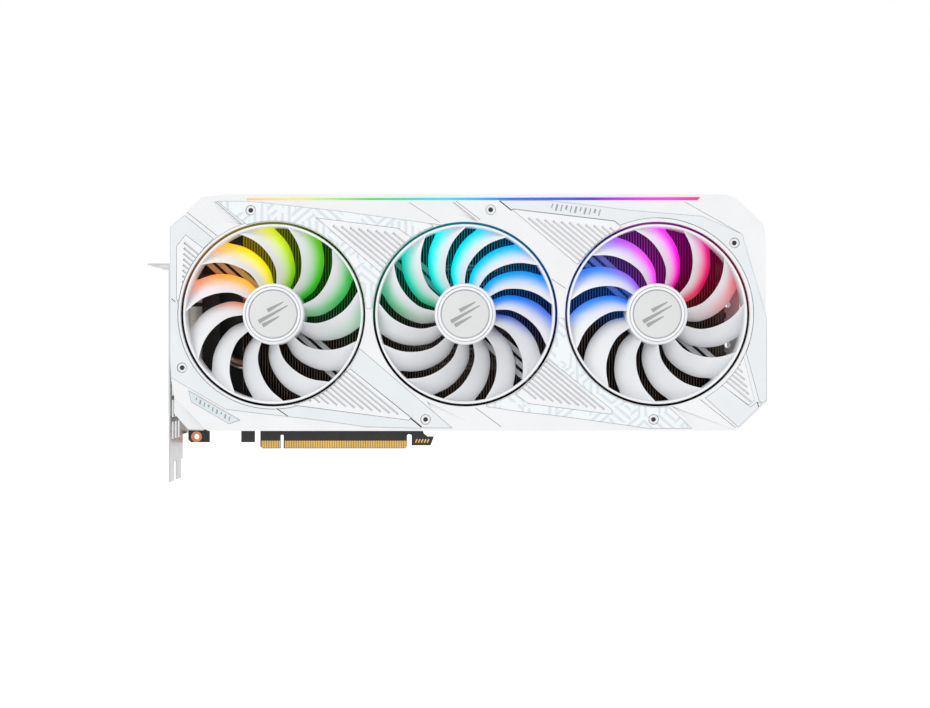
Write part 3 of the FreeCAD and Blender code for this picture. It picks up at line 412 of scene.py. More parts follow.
def finish_piece(name, mesh, material, body="card", bevel=0.0, stands_for=()):
    """Link a mesh as a piece of the object, give it its material and its body."""
    piece = bpy.data.objects.new(name, mesh)
    SCENE.collection.objects.link(piece)
    if mesh.materials:
        mesh.materials[0] = material
    else:
        mesh.materials.append(material)
    if bevel:
        soften(piece, bevel, 35)
    mesh.shade_smooth()
    mesh.set_sharp_from_angle(angle=math.radians(32))
    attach(piece, body)
    if stands_for:
        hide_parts(*stands_for)


def to_mesh(name, builder):
    """A mesh from a bmesh, with its normals made consistent."""
    bmesh.ops.recalc_face_normals(builder, faces=builder.faces)
    mesh = bpy.data.meshes.new(name)
    builder.to_mesh(mesh)
    builder.free()
    return mesh


def prism(builder, corners, front, back):
    """A closed prism over an outline in the X-Z plane. A corner may bring its own back depth."""
    near = [builder.verts.new((corner[0] * MM, front * MM, corner[1] * MM)) for corner in corners]
    far = []
    for corner in corners:
        depth = corner[2] if len(corner) > 2 else back
        far.append(builder.verts.new((corner[0] * MM, depth * MM, corner[1] * MM)))
    builder.faces.new(near)
    builder.faces.new(far[::-1])
    for index in range(len(corners)):
        after = (index + 1) % len(corners)
        builder.faces.new((near[after], near[index], far[index], far[after]))


def prism_mesh(name, outlines, front, back, shade=0):
    """One mesh of separate prisms. Faces cut by it take the piece's material number `shade`."""
    builder = bmesh.new()
    for outline in outlines:
        prism(builder, outline, front, back)
    for face in builder.faces:
        face.material_index = shade
    return to_mesh(name, builder)


def circle(centre, radius, count=180):
    """A round outline."""
    return [(centre[0] + radius * math.cos(2 * math.pi * step / count),
             centre[1] + radius * math.sin(2 * math.pi * step / count)) for step in range(count)]


def band(start, end, wide, depths=None):
    """A thin outline along a line, for a groove or a raised strip."""
    run = Vector((end[0] - start[0], end[1] - start[1]))
    side = Vector((-run.y, run.x)).normalized() * wide / 2
    points = [(start[0] + side.x, start[1] + side.y), (start[0] - side.x, start[1] - side.y),
              (end[0] - side.x, end[1] - side.y), (end[0] + side.x, end[1] + side.y)]
    if depths:
        points = [(*point, depth) for point, depth in zip(points, depths)]
    return points


def arc_band(centre, radius, wide, first, last, count=90):
    """A thin outline along an arc, angles in degrees."""
    angles = [math.radians(first + (last - first) * step / count) for step in range(count + 1)]
    outer = [(centre[0] + (radius + wide / 2) * math.cos(a), centre[1] + (radius + wide / 2) * math.sin(a))
             for a in angles]
    inner = [(centre[0] + (radius - wide / 2) * math.cos(a), centre[1] + (radius - wide / 2) * math.sin(a))
             for a in reversed(angles)]
    return outer + inner


def crossings(start, end, centre, radius):
    """Shares along a line at which it crosses a circle."""
    run = Vector(end) - Vector(start)
    offset = Vector(start) - Vector(centre)
    a, b, c = run.dot(run), 2 * offset.dot(run), offset.dot(offset) - radius * radius
    inside = b * b - 4 * a * c
    if inside <= 0:
        return []
    root = math.sqrt(inside)
    return [share for share in ((-b - root) / (2 * a), (-b + root) / (2 * a)) if 0 < share < 1]


def outside(corners, centre, radius):
    """The outline with its stretch inside a circle replaced by the circle's own arc."""
    walk = []
    for index, start in enumerate(corners):
        end = corners[(index + 1) % len(corners)]
        hidden = math.dist(start, centre) < radius
        if not hidden:
            walk.append((start, "corner"))
        for share in crossings(start, end, centre, radius):
            point = (start[0] + (end[0] - start[0]) * share, start[1] + (end[1] - start[1]) * share)
            walk.append((point, "leave" if hidden else "enter"))
            hidden = not hidden
    result = []
    for index, (point, kind) in enumerate(walk):
        result.append(point)
        if kind != "enter":
            continue
        goal = walk[(index + 1) % len(walk)][0]
        first = math.atan2(point[1] - centre[1], point[0] - centre[0])
        last = math.atan2(goal[1] - centre[1], goal[0] - centre[0])
        sweep = (last - first + math.pi) % (2 * math.pi) - math.pi
        steps = max(1, int(abs(sweep) / math.radians(2)))
        for step in range(1, steps):
            angle = first + sweep * step / steps
            result.append((centre[0] + radius * math.cos(angle), centre[1] + radius * math.sin(angle)))
    return result


def grown(corners, amount):
    """The outline moved outwards by an amount along its corners' bisectors."""
    count = len(corners)
    area = sum(corners[i][0] * corners[(i + 1) % count][1] - corners[(i + 1) % count][0] * corners[i][1]
               for i in range(count))
    sign = 1 if area > 0 else -1
    result = []
    for index in range(count):
        before, here, after = (Vector(corners[(index + step) % count]) for step in (-1, 0, 1))
        first = (here - before).normalized()
        second = (after - here).normalized()
        normal_a = Vector((first.y, -first.x)) * sign
        normal_b = Vector((second.y, -second.x)) * sign
        middle = normal_a + normal_b
        if middle.length < 1e-6:
            middle = normal_a
        middle.normalize()
        stretch = min(3.0, 1 / max(0.2, middle.dot(normal_a)))
        result.append(tuple(here + middle * amount * stretch))
    return result


def carve(piece, cutters):
    """Take the cutter meshes away from a piece, one exact boolean each, and keep the result."""
    for mesh in cutters:
        tool = bpy.data.objects.new("cutter", mesh)
        SCENE.collection.objects.link(tool)
        step = piece.modifiers.new("carve", "BOOLEAN")
        step.operation = "DIFFERENCE"
        step.solver = "EXACT"
        step.material_mode = "INDEX"
        step.object = tool
        bpy.context.view_layer.update()
        evaluated = piece.evaluated_get(bpy.context.evaluated_depsgraph_get())
        result = bpy.data.meshes.new_from_object(evaluated)
        piece.modifiers.remove(step)
        piece.data = result
        bpy.data.objects.remove(tool)


def carved_mesh(name, outline, front, back, cutters, shades=None):
    """A prism with cutters taken away, as a mesh. Cut faces take their cutter's shade."""
    shades = shades or (SHADE, SLOT)
    mesh = prism_mesh(name, [outline], front, back)
    for paint in (WHITE, *shades):
        mesh.materials.append(paint)
    helper = bpy.data.objects.new(name + "_blank", mesh)
    SCENE.collection.objects.link(helper)
    carve(helper, cutters)
    result = helper.data
    numbers = [face.material_index for face in result.polygons]
    bpy.data.objects.remove(helper)
    result.materials.clear()
    for paint in (None, *shades):
        result.materials.append(paint)
    result.polygons.foreach_set("material_index", numbers)
    return result


def turned(name, centre, profile, count=128, closed=True):
    """A mesh turned about a fan's axis from (radius, depth) points."""
    builder = bmesh.new()
    add_turned(builder, centre, profile, count, closed)
    return to_mesh(name, builder)


def add_turned(builder, centre, profile, count=128, closed=True):
    """Add a turned form to a bmesh. A radius of 0 closes the form on its axis."""
    rings = []
    for radius, depth in profile:
        if radius == 0:
            rings.append([builder.verts.new((centre[0] * MM, depth * MM, centre[1] * MM))])
            continue
        rings.append([builder.verts.new(((centre[0] + radius * math.cos(2 * math.pi * step / count)) * MM,
                                         depth * MM,
                                         (centre[1] + radius * math.sin(2 * math.pi * step / count)) * MM))
                      for step in range(count)])
    pairs = list(zip(rings, rings[1:]))
    if closed:
        pairs.append((rings[-1], rings[0]))
    for first, second in pairs:
        if len(first) == 1 and len(second) == 1:
            continue
        for step in range(count):
            after = (step + 1) % count
            if len(first) == 1:
                builder.faces.new((first[0], second[step], second[after]))
            elif len(second) == 1:
                builder.faces.new((first[step], second[0], first[after]))
            else:
                builder.faces.new((first[step], second[step], second[after], first[after]))


# ---------------------------------------------------------------- cover

# Outlines on the cover's face, in mm (X, Z), corner by corner.
FACE_OUTLINE = [(-50.2, 40.8), (-51.0, 55.0), (-51.0, 122.4), (-50.6, 123.3), (-43.4, 129.2),
                (-35.6, 137.3), (-34.2, 138.3), (-21.2, 140.1), (243.8, 140.1), (249.2, 138.8),
                (251.2, 137.8), (265.0, 124.6), (265.8, 123.0), (266.7, 116.4), (266.7, 77.3),
                (267.5, 73.0), (267.5, 30.2), (266.9, 28.8), (252.2, 14.5), (250.8, 13.9),
                (-30.4, 13.9), (-31.6, 14.6), (-47.8, 31.2), (-48.6, 32.2)]
CORNER_PANEL = [(-43.0, 128.6), (-27.9, 116.4), (-33.1, 111.1), (-42.4, 118.3), (-47.2, 112.3),
                (-47.2, 85.3), (-46.4, 80.0), (-40.0, 76.2), (0.0, 32.0), (15.0, 27.5), (76.5, 19.5),
                (77.0, 20.6), (83.0, 15.6), (82.9, 15.4), (54.2, 16.2), (23.8, 20.4), (-4.4, 23.5),
                (-21.2, 25.6), (-50.2, 42.4), (-50.6, 55.0), (-50.6, 122.3)]
BAND_PANEL = [(45.6, 46.9), (77.7, 21.2), (84.2, 15.6), (99.3, 15.6), (51.0, 57.0), (47.0, 60.0)]
PRINT_UPPER = [(-25.6, 136.2), (-9.7, 136.2), (-2.8, 135.6), (40.7, 130.8), (88.5, 124.2),
               (92.0, 118.0), (56.3, 79.2), (54.2, 79.2), (-10.4, 124.4)]
PRINT_LOWER = [(118.0, 27.0), (135.7, 24.3), (157.0, 21.9), (179.2, 18.9), (203.7, 15.4),
               (227.0, 15.4), (214.0, 27.5), (158.7, 74.0), (156.7, 74.0), (117.2, 29.5)]
TITLE_PANEL = [(125.0, 136.6), (150.5, 136.6), (173.8, 134.0), (194.8, 131.3), (232.8, 128.2),
               (253.9, 118.8), (266.3, 77.0), (267.0, 73.0), (267.0, 30.2), (264.9, 29.0),
               (263.3, 30.0), (256.4, 55.5), (258.2, 60.9), (254.0, 65.0), (195.0, 118.0),
               (188.9, 123.8), (186.0, 126.0), (132.0, 132.4), (131.2, 131.6)]
END_PANEL = [(234.0, 32.1), (243.3, 38.3), (258.5, 26.4), (261.9, 29.2), (264.6, 28.4), (252.0, 16.1)]
VENTS = {
    "vent_insert_upper_left": [(27.6, 127.3), (70.6, 121.8), (77.6, 116.9), (61.3, 98.7)],
    "vent_insert_upper_right": [(131.8, 131.9), (185.8, 125.6), (189.5, 122.5), (166.2, 102.8)],
    "vent_insert_lower_left": [(45.2, 46.9), (77.3, 21.0), (76.5, 19.7), (15.0, 27.8)],
    "vent_insert_lower_right": [(150.7, 52.0), (184.9, 24.9), (184.3, 22.9), (140.1, 28.6), (133.7, 33.3)],
    "rib_insert_left": [(-33.1, 111.1), (-42.4, 118.3), (-47.2, 112.3), (-47.2, 84.0), (-40.0, 80.0),
                        (-25.0, 105.0)],
    "rib_insert_right": [(242.5, 39.0), (257.6, 27.8), (260.5, 30.5), (254.4, 55.0), (250.0, 52.0)],
}
# Grooves of each insert: first groove's outer end, step to the next one, how many, and the way
# that they run (towards the fan's ring).
GROOVES = {
    "vent_insert_upper_left": ((36.1, 123.5), (4.55, -0.55), 8, 1),
    "vent_insert_upper_right": ((140.2, 127.5), (4.35, -0.52), 11, 1),
    "vent_insert_lower_left": ((24.5, 29.8), (4.65, -0.70), 11, -1),
    "vent_insert_lower_right": ((144.4, 31.1), (4.55, -0.72), 9, -1),
    "rib_insert_left": ((-43.2, 114.4), (-0.15, -2.95), 10, 1),
    "rib_insert_right": ((253.4, 49.0), (1.10, -3.90), 6, -1),
}
GROOVE_SLOPE = math.radians(-39.7)
BADGE_OUTLINE = [(-40.9, 35.4), (-13.5, 19.7), (-19.2, 17.7), (-39.5, 29.4)]

# Fine grooves on the face: start, end and width.
LINES = [
    ((-41.8, 130.5), (-25.5, 117.7), 0.28), ((-26.9, 136.2), (-12.4, 124.2), 0.28),
    ((76.6, 135.7), (92.9, 125.1), 0.22), ((101.6, 136.4), (114.6, 126.4), 0.28),
    ((100.3, 135.8), (113.0, 125.9), 0.28), ((152.6, 94.9), (160.2, 89.7), 0.28),
    ((112.0, 26.2), (125.6, 16.2), 0.32), ((231.6, 30.9), (250.6, 15.6), 0.25),
    ((88.5, 124.4), (96.0, 123.3), 0.22), ((223.4, 136.1), (253.0, 119.4), 0.2),
    ((236.0, 31.0), (252.4, 17.0), 0.25),
]
# Short open slots, darker and deeper.
SLOTS = [
    ((6.0, 25.9), (12.0, 21.8), 0.45), ((77.4, 20.6), (83.2, 15.9), 0.6),
    ((124.9, 136.5), (131.2, 131.4), 0.5), ((262.1, 29.2), (262.9, 26.6), 0.45),
    ((-50.0, 84.4), (-47.8, 82.6), 0.4),
]
# Hollows that slope into the face: corners with their own depth below the base surface.
HOLLOWS = [
    [(-27.6, 136.0, 0.1), (-12.6, 123.9, 1.4), (-20.9, 125.3, 0.1)],
    [(99.4, 136.0, 0.1), (112.4, 125.7, 1.4), (101.5, 129.5, 0.1)],
    [(86.0, 29.6, 1.1), (106.9, 19.5, 0.1), (91.0, 21.3, 0.1)],
    [(216.5, 27.2, 1.2), (250.0, 14.6, 0.1), (230.5, 15.4, 0.1)],
]

# Width of the white lip that each piece leaves round the fan opening beside it, in mm.
LIPS = {"corner_panel": 1.5, "rib_insert_left": 1.5, "title_panel": 2.1, "end_panel": 2.1,
        "rib_insert_right": 2.1}
PLAIN_LIP = 0.45


def clear_of_fans(name, corners):
    """An outline kept outside every fan opening and its lip."""
    for centre in FANS.values():
        corners = outside(corners, centre, OPENING_RADIUS + LIPS.get(name, PLAIN_LIP))
    return corners


def insert_grooves(name):
    """Sawtooth grooves of one insert, each deepest along its lower side."""
    (x, z), (step_x, step_z), count, way = GROOVES[name]
    outlines = []
    for index in range(count):
        start = Vector((x + index * step_x, z + index * step_z))
        end = start + Vector((math.cos(GROOVE_SLOPE), math.sin(GROOVE_SLOPE))) * way * 60.0
        upper, lower = PANEL_FRONT + 0.12, PANEL_FRONT + 1.15
        depths = (upper, lower, lower, upper) if way > 0 else (lower, upper, upper, lower)
        outlines.append(band(start, end, 1.25, depths))
    return outlines


def face_cutters(panels, vents):
    """What is taken out of the face: openings, seats of panels and inserts, lines and hollows."""
    cutters = [prism_mesh("hole", [circle(centre, OPENING_RADIUS)], CUT_FRONT, CUT_BACK)
               for centre in FANS.values()]
    cutters += [prism_mesh("recess", [grown(outline, 0.16)], CUT_FRONT, SEAT, shade=1)
                for outline, paint in panels.values()]
    cutters += [prism_mesh("vent_recess", [grown(outline, 0.18)], CUT_FRONT, SEAT + 1.0, shade=1)
                for outline in vents.values()]
    cutters.append(prism_mesh("badge_recess", [grown(BADGE_OUTLINE, 0.1)], CUT_FRONT, FACE + 0.75,
                              shade=1))
    cutters.append(prism_mesh("bar_recess", [grown(bar_outline(), 0.08)], CUT_FRONT, CUT_BACK))
    lines = [band(start, end, wide) for start, end, wide in LINES]
    cutters.append(prism_mesh("lines", lines, CUT_FRONT, BASE_FRONT + 0.6, shade=1))
    slots = [band(start, end, wide) for start, end, wide in SLOTS]
    cutters.append(prism_mesh("slots", slots, CUT_FRONT, BASE_FRONT + 1.1, shade=2))
    hollows = [[(x, z, BASE_FRONT + depth) for x, z, depth in outline] for outline in HOLLOWS]
    cutters.append(prism_mesh("hollows", hollows, CUT_FRONT, 0))
    arcs = [arc_band(LEFT, OPENING_RADIUS + 1.3, 0.2, 75, 300),
            arc_band(RIGHT, OPENING_RADIUS + 1.9, 0.2, -30, 90)]
    cutters.append(prism_mesh("lips", arcs, CUT_FRONT, BASE_FRONT + 0.6, shade=1))
    return cutters


def build_cover():
    """The white cover: face with recesses, raised painted panels and grooved inserts."""
    panels = {
        "corner_panel": (CORNER_PANEL, COOL), "band_panel": (BAND_PANEL, COOL),
        "print_panel_upper": (PRINT_UPPER, PRINTED), "print_panel_lower": (PRINT_LOWER, PRINTED),
        "title_panel": (TITLE_PANEL, COOL), "end_panel": (END_PANEL, COOL),
    }
    panels = {name: (clear_of_fans(name, outline), paint) for name, (outline, paint) in panels.items()}
    vents = {name: clear_of_fans(name, outline) for name, outline in VENTS.items()}
    screws = prism_mesh("screw_recess", [circle(spot, 2.75, 48) for spot in screw_spots()], CUT_FRONT,
                        FACE + 1.45)
    cutters = face_cutters(panels, vents) + [screws]
    face = carved_mesh("cover_face", FACE_OUTLINE, BASE_FRONT, FACE_BACK, cutters)
    finish_piece("cover_face", face, WHITE, bevel=0.12, stands_for=["front_shroud"])

    slots = [band(start, end, wide) for start, end, wide in SLOTS]
    for name, (outline, paint) in panels.items():
        cuts = [prism_mesh("vent_gap", [grown(other, 0.18)], CUT_FRONT, 0, shade=1)
                for other in vents.values()]
        cuts.append(prism_mesh("slots", slots, CUT_FRONT, 0, shade=2))
        mesh = carved_mesh(name, outline, PANEL_FRONT, SEAT, cuts + [screws])
        finish_piece(name, mesh, paint, bevel=0.14)
    for name, outline in vents.items():
        grooves = prism_mesh("grooves", insert_grooves(name), CUT_FRONT, 0, shade=1)
        mesh = carved_mesh(name + "_skin", outline, PANEL_FRONT + 0.05, SEAT + 0.9, [grooves],
                           shades=(SOFT_SHADE, SLOT))
        finish_piece(name + "_skin", mesh, INSERT, bevel=0.1, stands_for=[name])


def bar_outline():
    """Outline of the light bar, thin at its left end, from the frame."""
    low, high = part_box("light_bar")
    left, right = low.x / MM, high.x / MM
    bottom, top = low.z / MM, high.z / MM
    return [(left, bottom + 0.2), (left, bottom + 0.9), (right, top), (right - 1.6, bottom)]


def screw_spots():
    """Centres of the cover's screws, read from the frame as groups of nearby vertices."""
    spots = []
    for vertex in NODES["shroud_screws"].data.vertices:
        point = (vertex.co.x / MM, vertex.co.z / MM)
        for spot in spots:
            if math.dist(point, spot[0]) < 8:
                spot.append(point)
                break
        else:
            spots.append([point])
    return [((min(p[0] for p in spot) + max(p[0] for p in spot)) / 2,
             (min(p[1] for p in spot) + max(p[1] for p in spot)) / 2) for spot in spots]


def build_walls():
    """Side walls behind the face, with a deeper skirt, and a collar round each opening, near black as
    painted shade in the gap round each rotor, with painted fan glow.
    """
    upper = [(-50.2, 40.8), (-51.0, 55.0), (-51.0, 122.4), (-43.4, 129.2), (-34.7, 138.1),
             (-21.2, 140.1), (243.8, 140.1), (250.5, 138.3), (265.5, 123.9), (266.7, 116.4),
             (266.7, 77.3), (267.5, 73.0), (267.5, 29.6), (251.3, 13.9), (-31.0, 13.9), (-48.6, 32.2)]
    skirt = [(-51.5, 22.5), (-51.5, 122.4), (-43.4, 129.2), (-34.7, 138.1), (-21.2, 140.1),
             (243.8, 140.1), (250.5, 138.3), (265.5, 123.9), (266.7, 116.4), (266.7, 77.3),
             (267.5, 73.0), (267.5, 29.6), (251.3, 13.9), (-44.0, 13.9)]
    wall = carved_mesh("cover_wall", upper, FACE_BACK, WALL_STEP,
                       [prism_mesh("inside", [grown(upper, -1.8)], FACE_BACK - 5, WALL_STEP + 5)])
    finish_piece("cover_wall", wall, WHITE, bevel=0.25)
    notches = []
    for start in range(-20, 236, 16):
        notches.append([(start, 150.0), (start + 5.0, 150.0), (start + 5.0, 137.0), (start, 137.0)])
    slots = prism_mesh("slots", notches, -34.0, -27.5)
    mesh = carved_mesh("cover_ledge", skirt, WALL_STEP, WALL_STEP + 1.5,
                       [prism_mesh("inside", [grown(upper, -1.7)], WALL_STEP - 5, WALL_STEP + 5)])
    finish_piece("cover_ledge", mesh, WHITE, bevel=0.2)
    wall = carved_mesh("cover_skirt", skirt, WALL_STEP + 1.5, WALL_BACK,
                       [prism_mesh("inside", [grown(skirt, -1.8)], WALL_STEP - 5, WALL_BACK + 5), slots])
    finish_piece("cover_skirt", wall, WHITE, bevel=0.25)
    collars = bmesh.new()
    for centre in FANS.values():
        outer = OPENING_RADIUS + 1.4
        add_turned(collars, centre, [(OPENING_RADIUS, FACE_BACK), (OPENING_RADIUS, COLLAR_BACK),
                                     (outer, COLLAR_BACK), (outer, FACE_BACK)])
    finish_piece("opening_collars", to_mesh("opening_collars", collars), SHADOW_COLLAR)


def leaning_bars(corner, way, count, leans, wide):
    """A row of plain bars: every third one takes the short lean, and widths alternate."""
    bars = []
    for index in range(count):
        start = Vector(corner) + way * index * 2.55
        lean = leans[1] if index % 3 else leans[0]
        bars.append(band(start, start + lean, wide if index % 2 else 0.6))
    return bars


def build_trim():
    """Badge, generic marks, light bar and the cover's screws."""
    badge = prism_mesh("badge_skin", [grown(BADGE_OUTLINE, -0.1)], FACE + 0.1, FACE + 0.7)
    finish_piece("badge_skin", badge, BADGE, bevel=0.08, stands_for=["badge_plate"])
    slope = Vector((27.4, -15.7)).normalized()
    leans = (Vector((-0.3, -1.4)), Vector((-0.5, -2.3)))
    bars = leaning_bars((-36.6, 31.7), slope, 9, leans, 0.9)
    finish_piece("badge_bars", prism_mesh("badge_bars", bars, FACE + 0.05, FACE + 0.3), MARK)
    along = Vector((0.992, -0.122))
    leans = (Vector((-0.7, -2.3)), Vector((-1.0, -3.4)))
    bars = leaning_bars((153.2, 135.0), along, 11, leans, 1.0)
    finish_piece("title_bars", prism_mesh("title_bars", bars, FACE, PANEL_FRONT + 0.2), MARK)

    bar = bar_outline()
    left, right = bar[0][0], bar[2][0]
    lens = prism_mesh("light_lens", [bar], FACE + 0.25, FACE_BACK)
    finish_piece("light_lens", lens, rainbow("rainbow_lens", left, right, 0.55), bevel=0.2,
                 stands_for=["light_bar"])

    heads = bmesh.new()
    sockets = bmesh.new()
    for spot in screw_spots():
        add_turned(heads, spot, [(1.25, FACE + 1.35), (1.25, FACE + 0.5), (1.5, FACE + 0.3),
                                 (2.3, FACE + 0.25), (2.6, FACE + 0.5), (2.65, FACE + 1.35)], 48)
        # A near-black disc behind each head's hole: painted shade for the screw's socket.
        add_turned(sockets, spot, [(0, FACE + 1.0), (1.2, FACE + 1.0), (1.2, FACE + 1.4),
                                   (0, FACE + 1.4)], 24, closed=False)
    finish_piece("screw_heads", to_mesh("screw_heads", heads), SCREW, stands_for=["shroud_screws"])
    finish_piece("screw_socket_shade", to_mesh("screw_socket_shade", sockets), DARK_PLASTIC)


# ---------------------------------------------------------------- fans

# How far a blade has swept, in degrees, by share of the way from hub to ring.
SWEEP = [(0.0, -2.0), (0.25, 0.5), (0.5, 8.5), (0.75, 17.5), (1.0, 29.0)]


def blade_turn(share):
    """How far a blade has swept at a share of the way from hub to ring, in degrees."""
    for (a, low), (b, high) in zip(SWEEP, SWEEP[1:]):
        if share <= b:
            return low + (high - low) * (share - a) / (b - a)
    return SWEEP[-1][1]


def add_blade(builder, layer, centre, middle, hand, span):
    """One blade: a thin curved vane from the hub into the ring."""
    rows, columns = 22, 14
    inner, outer = HUB_RADIUS - 0.5, RING_RADIUS - 0.7
    front, deep = -50.9, 8.4
    previous = None
    for row in range(rows + 1):
        share = row / rows
        smooth_turn = (blade_turn(max(0, share - 0.06)) + blade_turn(share)
                       + blade_turn(min(1, share + 0.06))) / 3
        radius = inner + (outer - inner) * share
        loop = []
        for side in (0, 1):
            for column in range(columns + 1):
                # across runs from 0 at the front edge to 1 at the deep edge
                across = column / columns if side == 0 else 1 - column / columns
                angle = middle + hand * (smooth_turn + (0.5 - across) * span)
                camber = 0.16 * math.sin(math.pi * across)
                depth = front + deep * (across + camber * (1 - across))
                thick = 0.22 + 1.15 * math.sqrt(max(0.0, across * (1 - across)))
                depth += thick / 2 if side else -thick / 2
                a = math.radians(angle)
                vertex = builder.verts.new(((centre[0] + radius * math.cos(a)) * MM, depth * MM,
                                            (centre[1] + radius * math.sin(a)) * MM))
                vertex[layer] = across
                loop.append(vertex)
        if previous:
            count = len(loop)
            for index in range(count):
                after = (index + 1) % count
                builder.faces.new((previous[index], previous[after], loop[after], loop[index]))
        else:
            builder.faces.new(loop[::-1])
        previous = loop
    builder.faces.new(previous)


def build_rotor(name):
    """One rotor: domed hub, swept blades and outer ring, moulded in one piece."""
    centre = FANS[name]
    count, hand = BLADES[name]
    builder = bmesh.new()
    layer = builder.verts.layers.float.new("deep")
    hub = [(0, -50.2), (12.75, -50.2), (12.75, -50.1), (13.15, -50.1), (13.15, -51.1),
           (13.35, -51.3), (14.3, -51.35), (14.45, -51.15), (14.5, -50.5), (14.8, -50.5),
           (14.85, -51.15), (15.0, -51.35), (15.6, -51.25), (16.1, -50.9), (HUB_RADIUS, -50.3),
           (HUB_RADIUS, -41.0), (15.1, -41.0), (15.1, -49.8), (0, -49.8)]
    add_turned(builder, centre, hub, closed=False)
    outer = RING_RADIUS
    ring = [(outer - 1.3, -50.6), (outer - 1.15, -51.05), (outer - 0.65, -51.2), (outer - 0.15, -51.05),
            (outer, -50.6), (outer, -42.0), (outer - 0.3, -41.5), (outer - 1.0, -41.5),
            (outer - 1.3, -42.0)]
    add_turned(builder, centre, ring, 192)
    span = 22.0 if count == 11 else 20.5
    for index in range(count):
        add_blade(builder, layer, centre, START[name] + 360 * index / count, hand, span)
    mesh = to_mesh(name + "_vanes", builder)
    paint = painted_glow_blades(name)
    finish_piece(name + "_vanes", mesh, paint, body=name, stands_for=[name + "_rotor"])

    cap = turned(name + "_cap", centre, [(0, -51.35), (12.0, -51.35), (12.4, -51.25), (12.6, -51.0),
                                         (12.6, -50.3), (0, -50.3)], closed=False)
    finish_piece(name + "_cap", cap, CAP, body=name, stands_for=[name + "_hub_cap"])
    strokes = []
    for offset, reach in ((4.1, 5.2), (0.2, 9.6), (-3.7, 5.6)):
        start = Vector((centre[0] - reach * 0.80 + offset * 0.3, centre[1] - reach * 0.45 + offset))
        end = Vector((centre[0] + reach * 0.80 + offset * 0.3, centre[1] + reach * 0.45 + offset))
        strokes.append(taper(start, end, 2.2, 0.6))
    mark = prism_mesh(name + "_mark", strokes, -51.39, -51.3)
    finish_piece(name + "_mark", mark, MARK, body=name)


def taper(start, end, wide, thin):
    """A stroke that narrows towards its end."""
    side = Vector((-(end - start).y, (end - start).x)).normalized()
    points = [start + side * wide / 2, start - side * wide / 2, end - side * thin / 2, end + side * thin / 2]
    return [tuple(point) for point in points]


# ---------------------------------------------------------------- board and bracket details

def build_board_details():
    """Copper ring on the tab hole and plain gold bars on the retention hook."""
    thin = 0.04
    ring = turned("tab_ring", (-49.7, 6.8), [(1.62, -thin), (3.1, -thin), (3.1, 0.0), (1.62, 0.0)], 64)
    finish_piece("tab_ring", ring, COPPER)
    bars = [band((77.6 + 1.7 * index, 3.4), (78.6 + 1.7 * index, 5.4), 0.75) for index in range(5)]
    finish_piece("hook_bars", prism_mesh("hook_bars", bars, -thin, 0.0), GOLD)


def build_fin_end():
    """Punched grey sheet at the right end of the fins, seen through the right fan."""
    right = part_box("fin_stack")[1].x / MM
    sheet = [(right + 0.3, 30.0), (right + 0.3, 120.0), (right + 11.5, 120.0), (right + 13.6, 116.0),
             (right + 13.6, 34.0), (right + 10.0, 30.0)]
    holes = [prism_mesh("punched", [circle((right + 6.8, 37.0 + 11.5 * index), 1.7, 24)
                                    for index in range(8)], -40, 0)]
    sheet_front = -14.0
    mesh = carved_mesh("fin_end_sheet", sheet, sheet_front, -12.8, holes)
    # Painted fan glow on the sheet's front face, fading out within a millimetre behind it.
    paint = painted_glow_behind("end_sheet_painted_glow", (0.62, 0.62, 0.64), 0.4, 0.0, 0.5, sheet_front, 1.0)
    finish_piece("fin_end_sheet", mesh, paint, bevel=0.15)
    lugs = [[(right + 0.3, z), (right + 0.3, z + 5.0), (right + 3.4, z + 4.0), (right + 3.4, z + 1.0)]
            for z in (52.0, 74.0, 96.0)]
    finish_piece("fin_end_lugs", prism_mesh("fin_end_lugs", lugs, -24.0, -14.2), DARK_METAL, bevel=0.2)


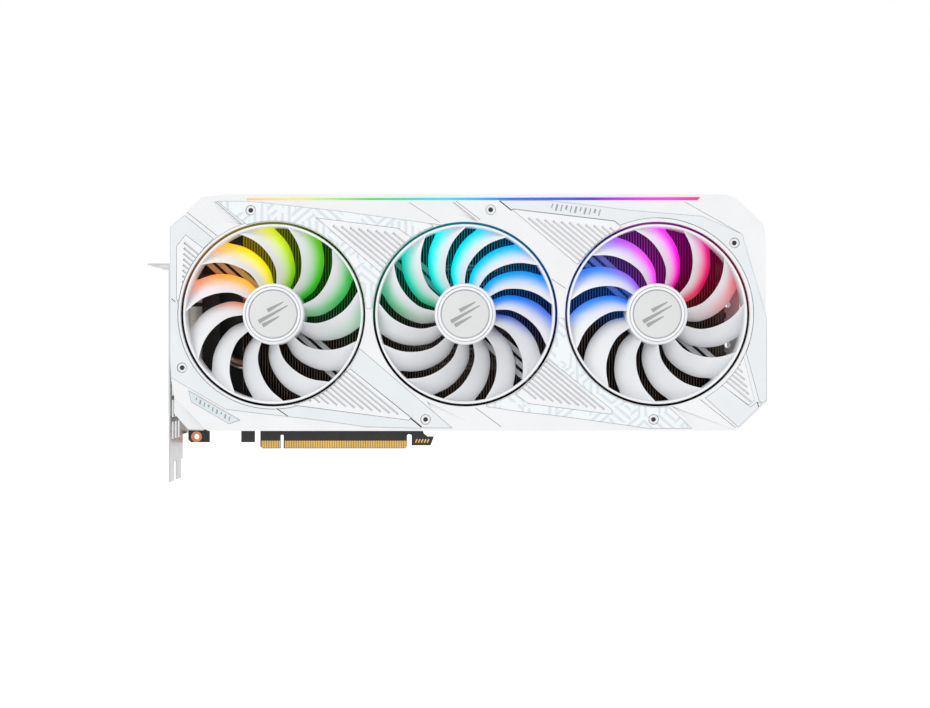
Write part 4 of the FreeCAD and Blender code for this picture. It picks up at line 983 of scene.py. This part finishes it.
def paint_frame():
    """Give every CAD node that stays in view its own material and softened edges."""
    paints = {
        "circuit_board": BOARD, "edge_contacts": GOLD, "gpu_substrate": GREEN, "gpu_die": SILICON,
        "memory_chips": CHIP, "power_chokes": CHOKE, "power_stages": CHIP, "capacitors": STEEL,
        "case_fan_sockets": WHITE, "bios_switch_body": DARK_PLASTIC, "bios_switch_lever": WHITE,
        "fin_stack": BLACK_FIN, "heat_pipes": PIPE, "cold_plate": NICKEL, "thermal_pads": PAD,
        "stiffening_frame": DARK_METAL, "light_bar_board": WHITE, "io_bracket": STEEL,
        "displayport_sockets": NICKEL, "hdmi_sockets": NICKEL, "bracket_screws": SCREW,
        "backplate": PLATE, "spring_cross": STEEL, "spring_screws": SCREW, "backplate_screws": SCREW,
        "backplate_spacers": NICKEL,
    }
    for number in (1, 2, 3):
        paints[f"power_socket_{number}"] = DARK_PLASTIC
    for name in FANS:
        paints[name + "_shaft"] = SCREW
        paints[name + "_magnet_ring"] = MAGNET
        paints[name + "_coils"] = WIRE
        paints[name + "_frame"] = GREY
    for node, paint in paints.items():
        mesh = NODES[node].data
        mesh.materials.clear()
        mesh.materials.append(paint)
    softened = {"io_bracket": 0.12, "backplate": 0.3, "spring_cross": 0.3, "cold_plate": 0.2,
                "power_socket_1": 0.15, "power_socket_2": 0.15, "power_socket_3": 0.15,
                "case_fan_sockets": 0.12, "bios_switch_body": 0.1, "bios_switch_lever": 0.08,
                "power_chokes": 0.25, "stiffening_frame": 0.25, "memory_chips": 0.1,
                "fan_left_frame": 0.2, "fan_center_frame": 0.2, "fan_right_frame": 0.2}
    for node, wide in softened.items():
        weld = NODES[node].modifiers.new("weld", "WELD")
        weld.merge_threshold = 0.00001
        soften(NODES[node], wide, 40)


# ---------------------------------------------------------------- light, floor and camera

def sun_lamp(name, direction, power, spread):
    """A soft lamp far away, shining along a direction."""
    data = bpy.data.lights.new(name, "SUN")
    data.energy = power
    data.angle = math.radians(spread)
    lamp = bpy.data.objects.new(name, data)
    SCENE.collection.objects.link(lamp)
    lamp.rotation_euler = Vector(direction).to_track_quat("-Z", "Y").to_euler()


def build_studio():
    """White surroundings, a pale floor well below the card, soft lamps and the camera."""
    SCENE.view_settings.view_transform = "Standard"
    world = bpy.data.worlds.new("white_room")
    SCENE.world = world
    world.use_nodes = True
    background = world.node_tree.nodes["Background"]
    background.inputs["Color"].default_value = (1.0, 1.0, 1.0, 1)
    background.inputs["Strength"].default_value = 1.0

    floor = bmesh.new()
    bmesh.ops.create_grid(floor, x_segments=8, y_segments=8, size=6.0)
    mesh = to_mesh("floor", floor)
    mesh.transform(Matrix.Translation((0.1, 0.0, -0.32)))
    plate = bpy.data.objects.new("floor", mesh)
    SCENE.collection.objects.link(plate)
    mesh.materials.append(surface("floor_paint", (0.97, 0.97, 0.97), 0.9, tint=0.005))

    sun_lamp("key", (0.45, 0.62, -0.66), 0.95, 35.0)
    sun_lamp("rim", (-0.6, -0.3, -0.7), 0.25, 60.0)

    lens = bpy.data.cameras.new("camera")
    lens.sensor_width = 36.0
    lens.lens = 41.28
    camera = bpy.data.objects.new("camera", lens)
    SCENE.collection.objects.link(camera)
    camera.location = (MIDDLE[0] * MM - 0.0001, -0.62, 0.0549)
    camera.rotation_euler = (math.radians(90), 0, 0)
    SCENE.camera = camera


build_studio()
build_cover()
build_walls()
build_trim()
for fan in FANS:
    build_rotor(fan)
build_board_details()
build_fin_end()
paint_frame()
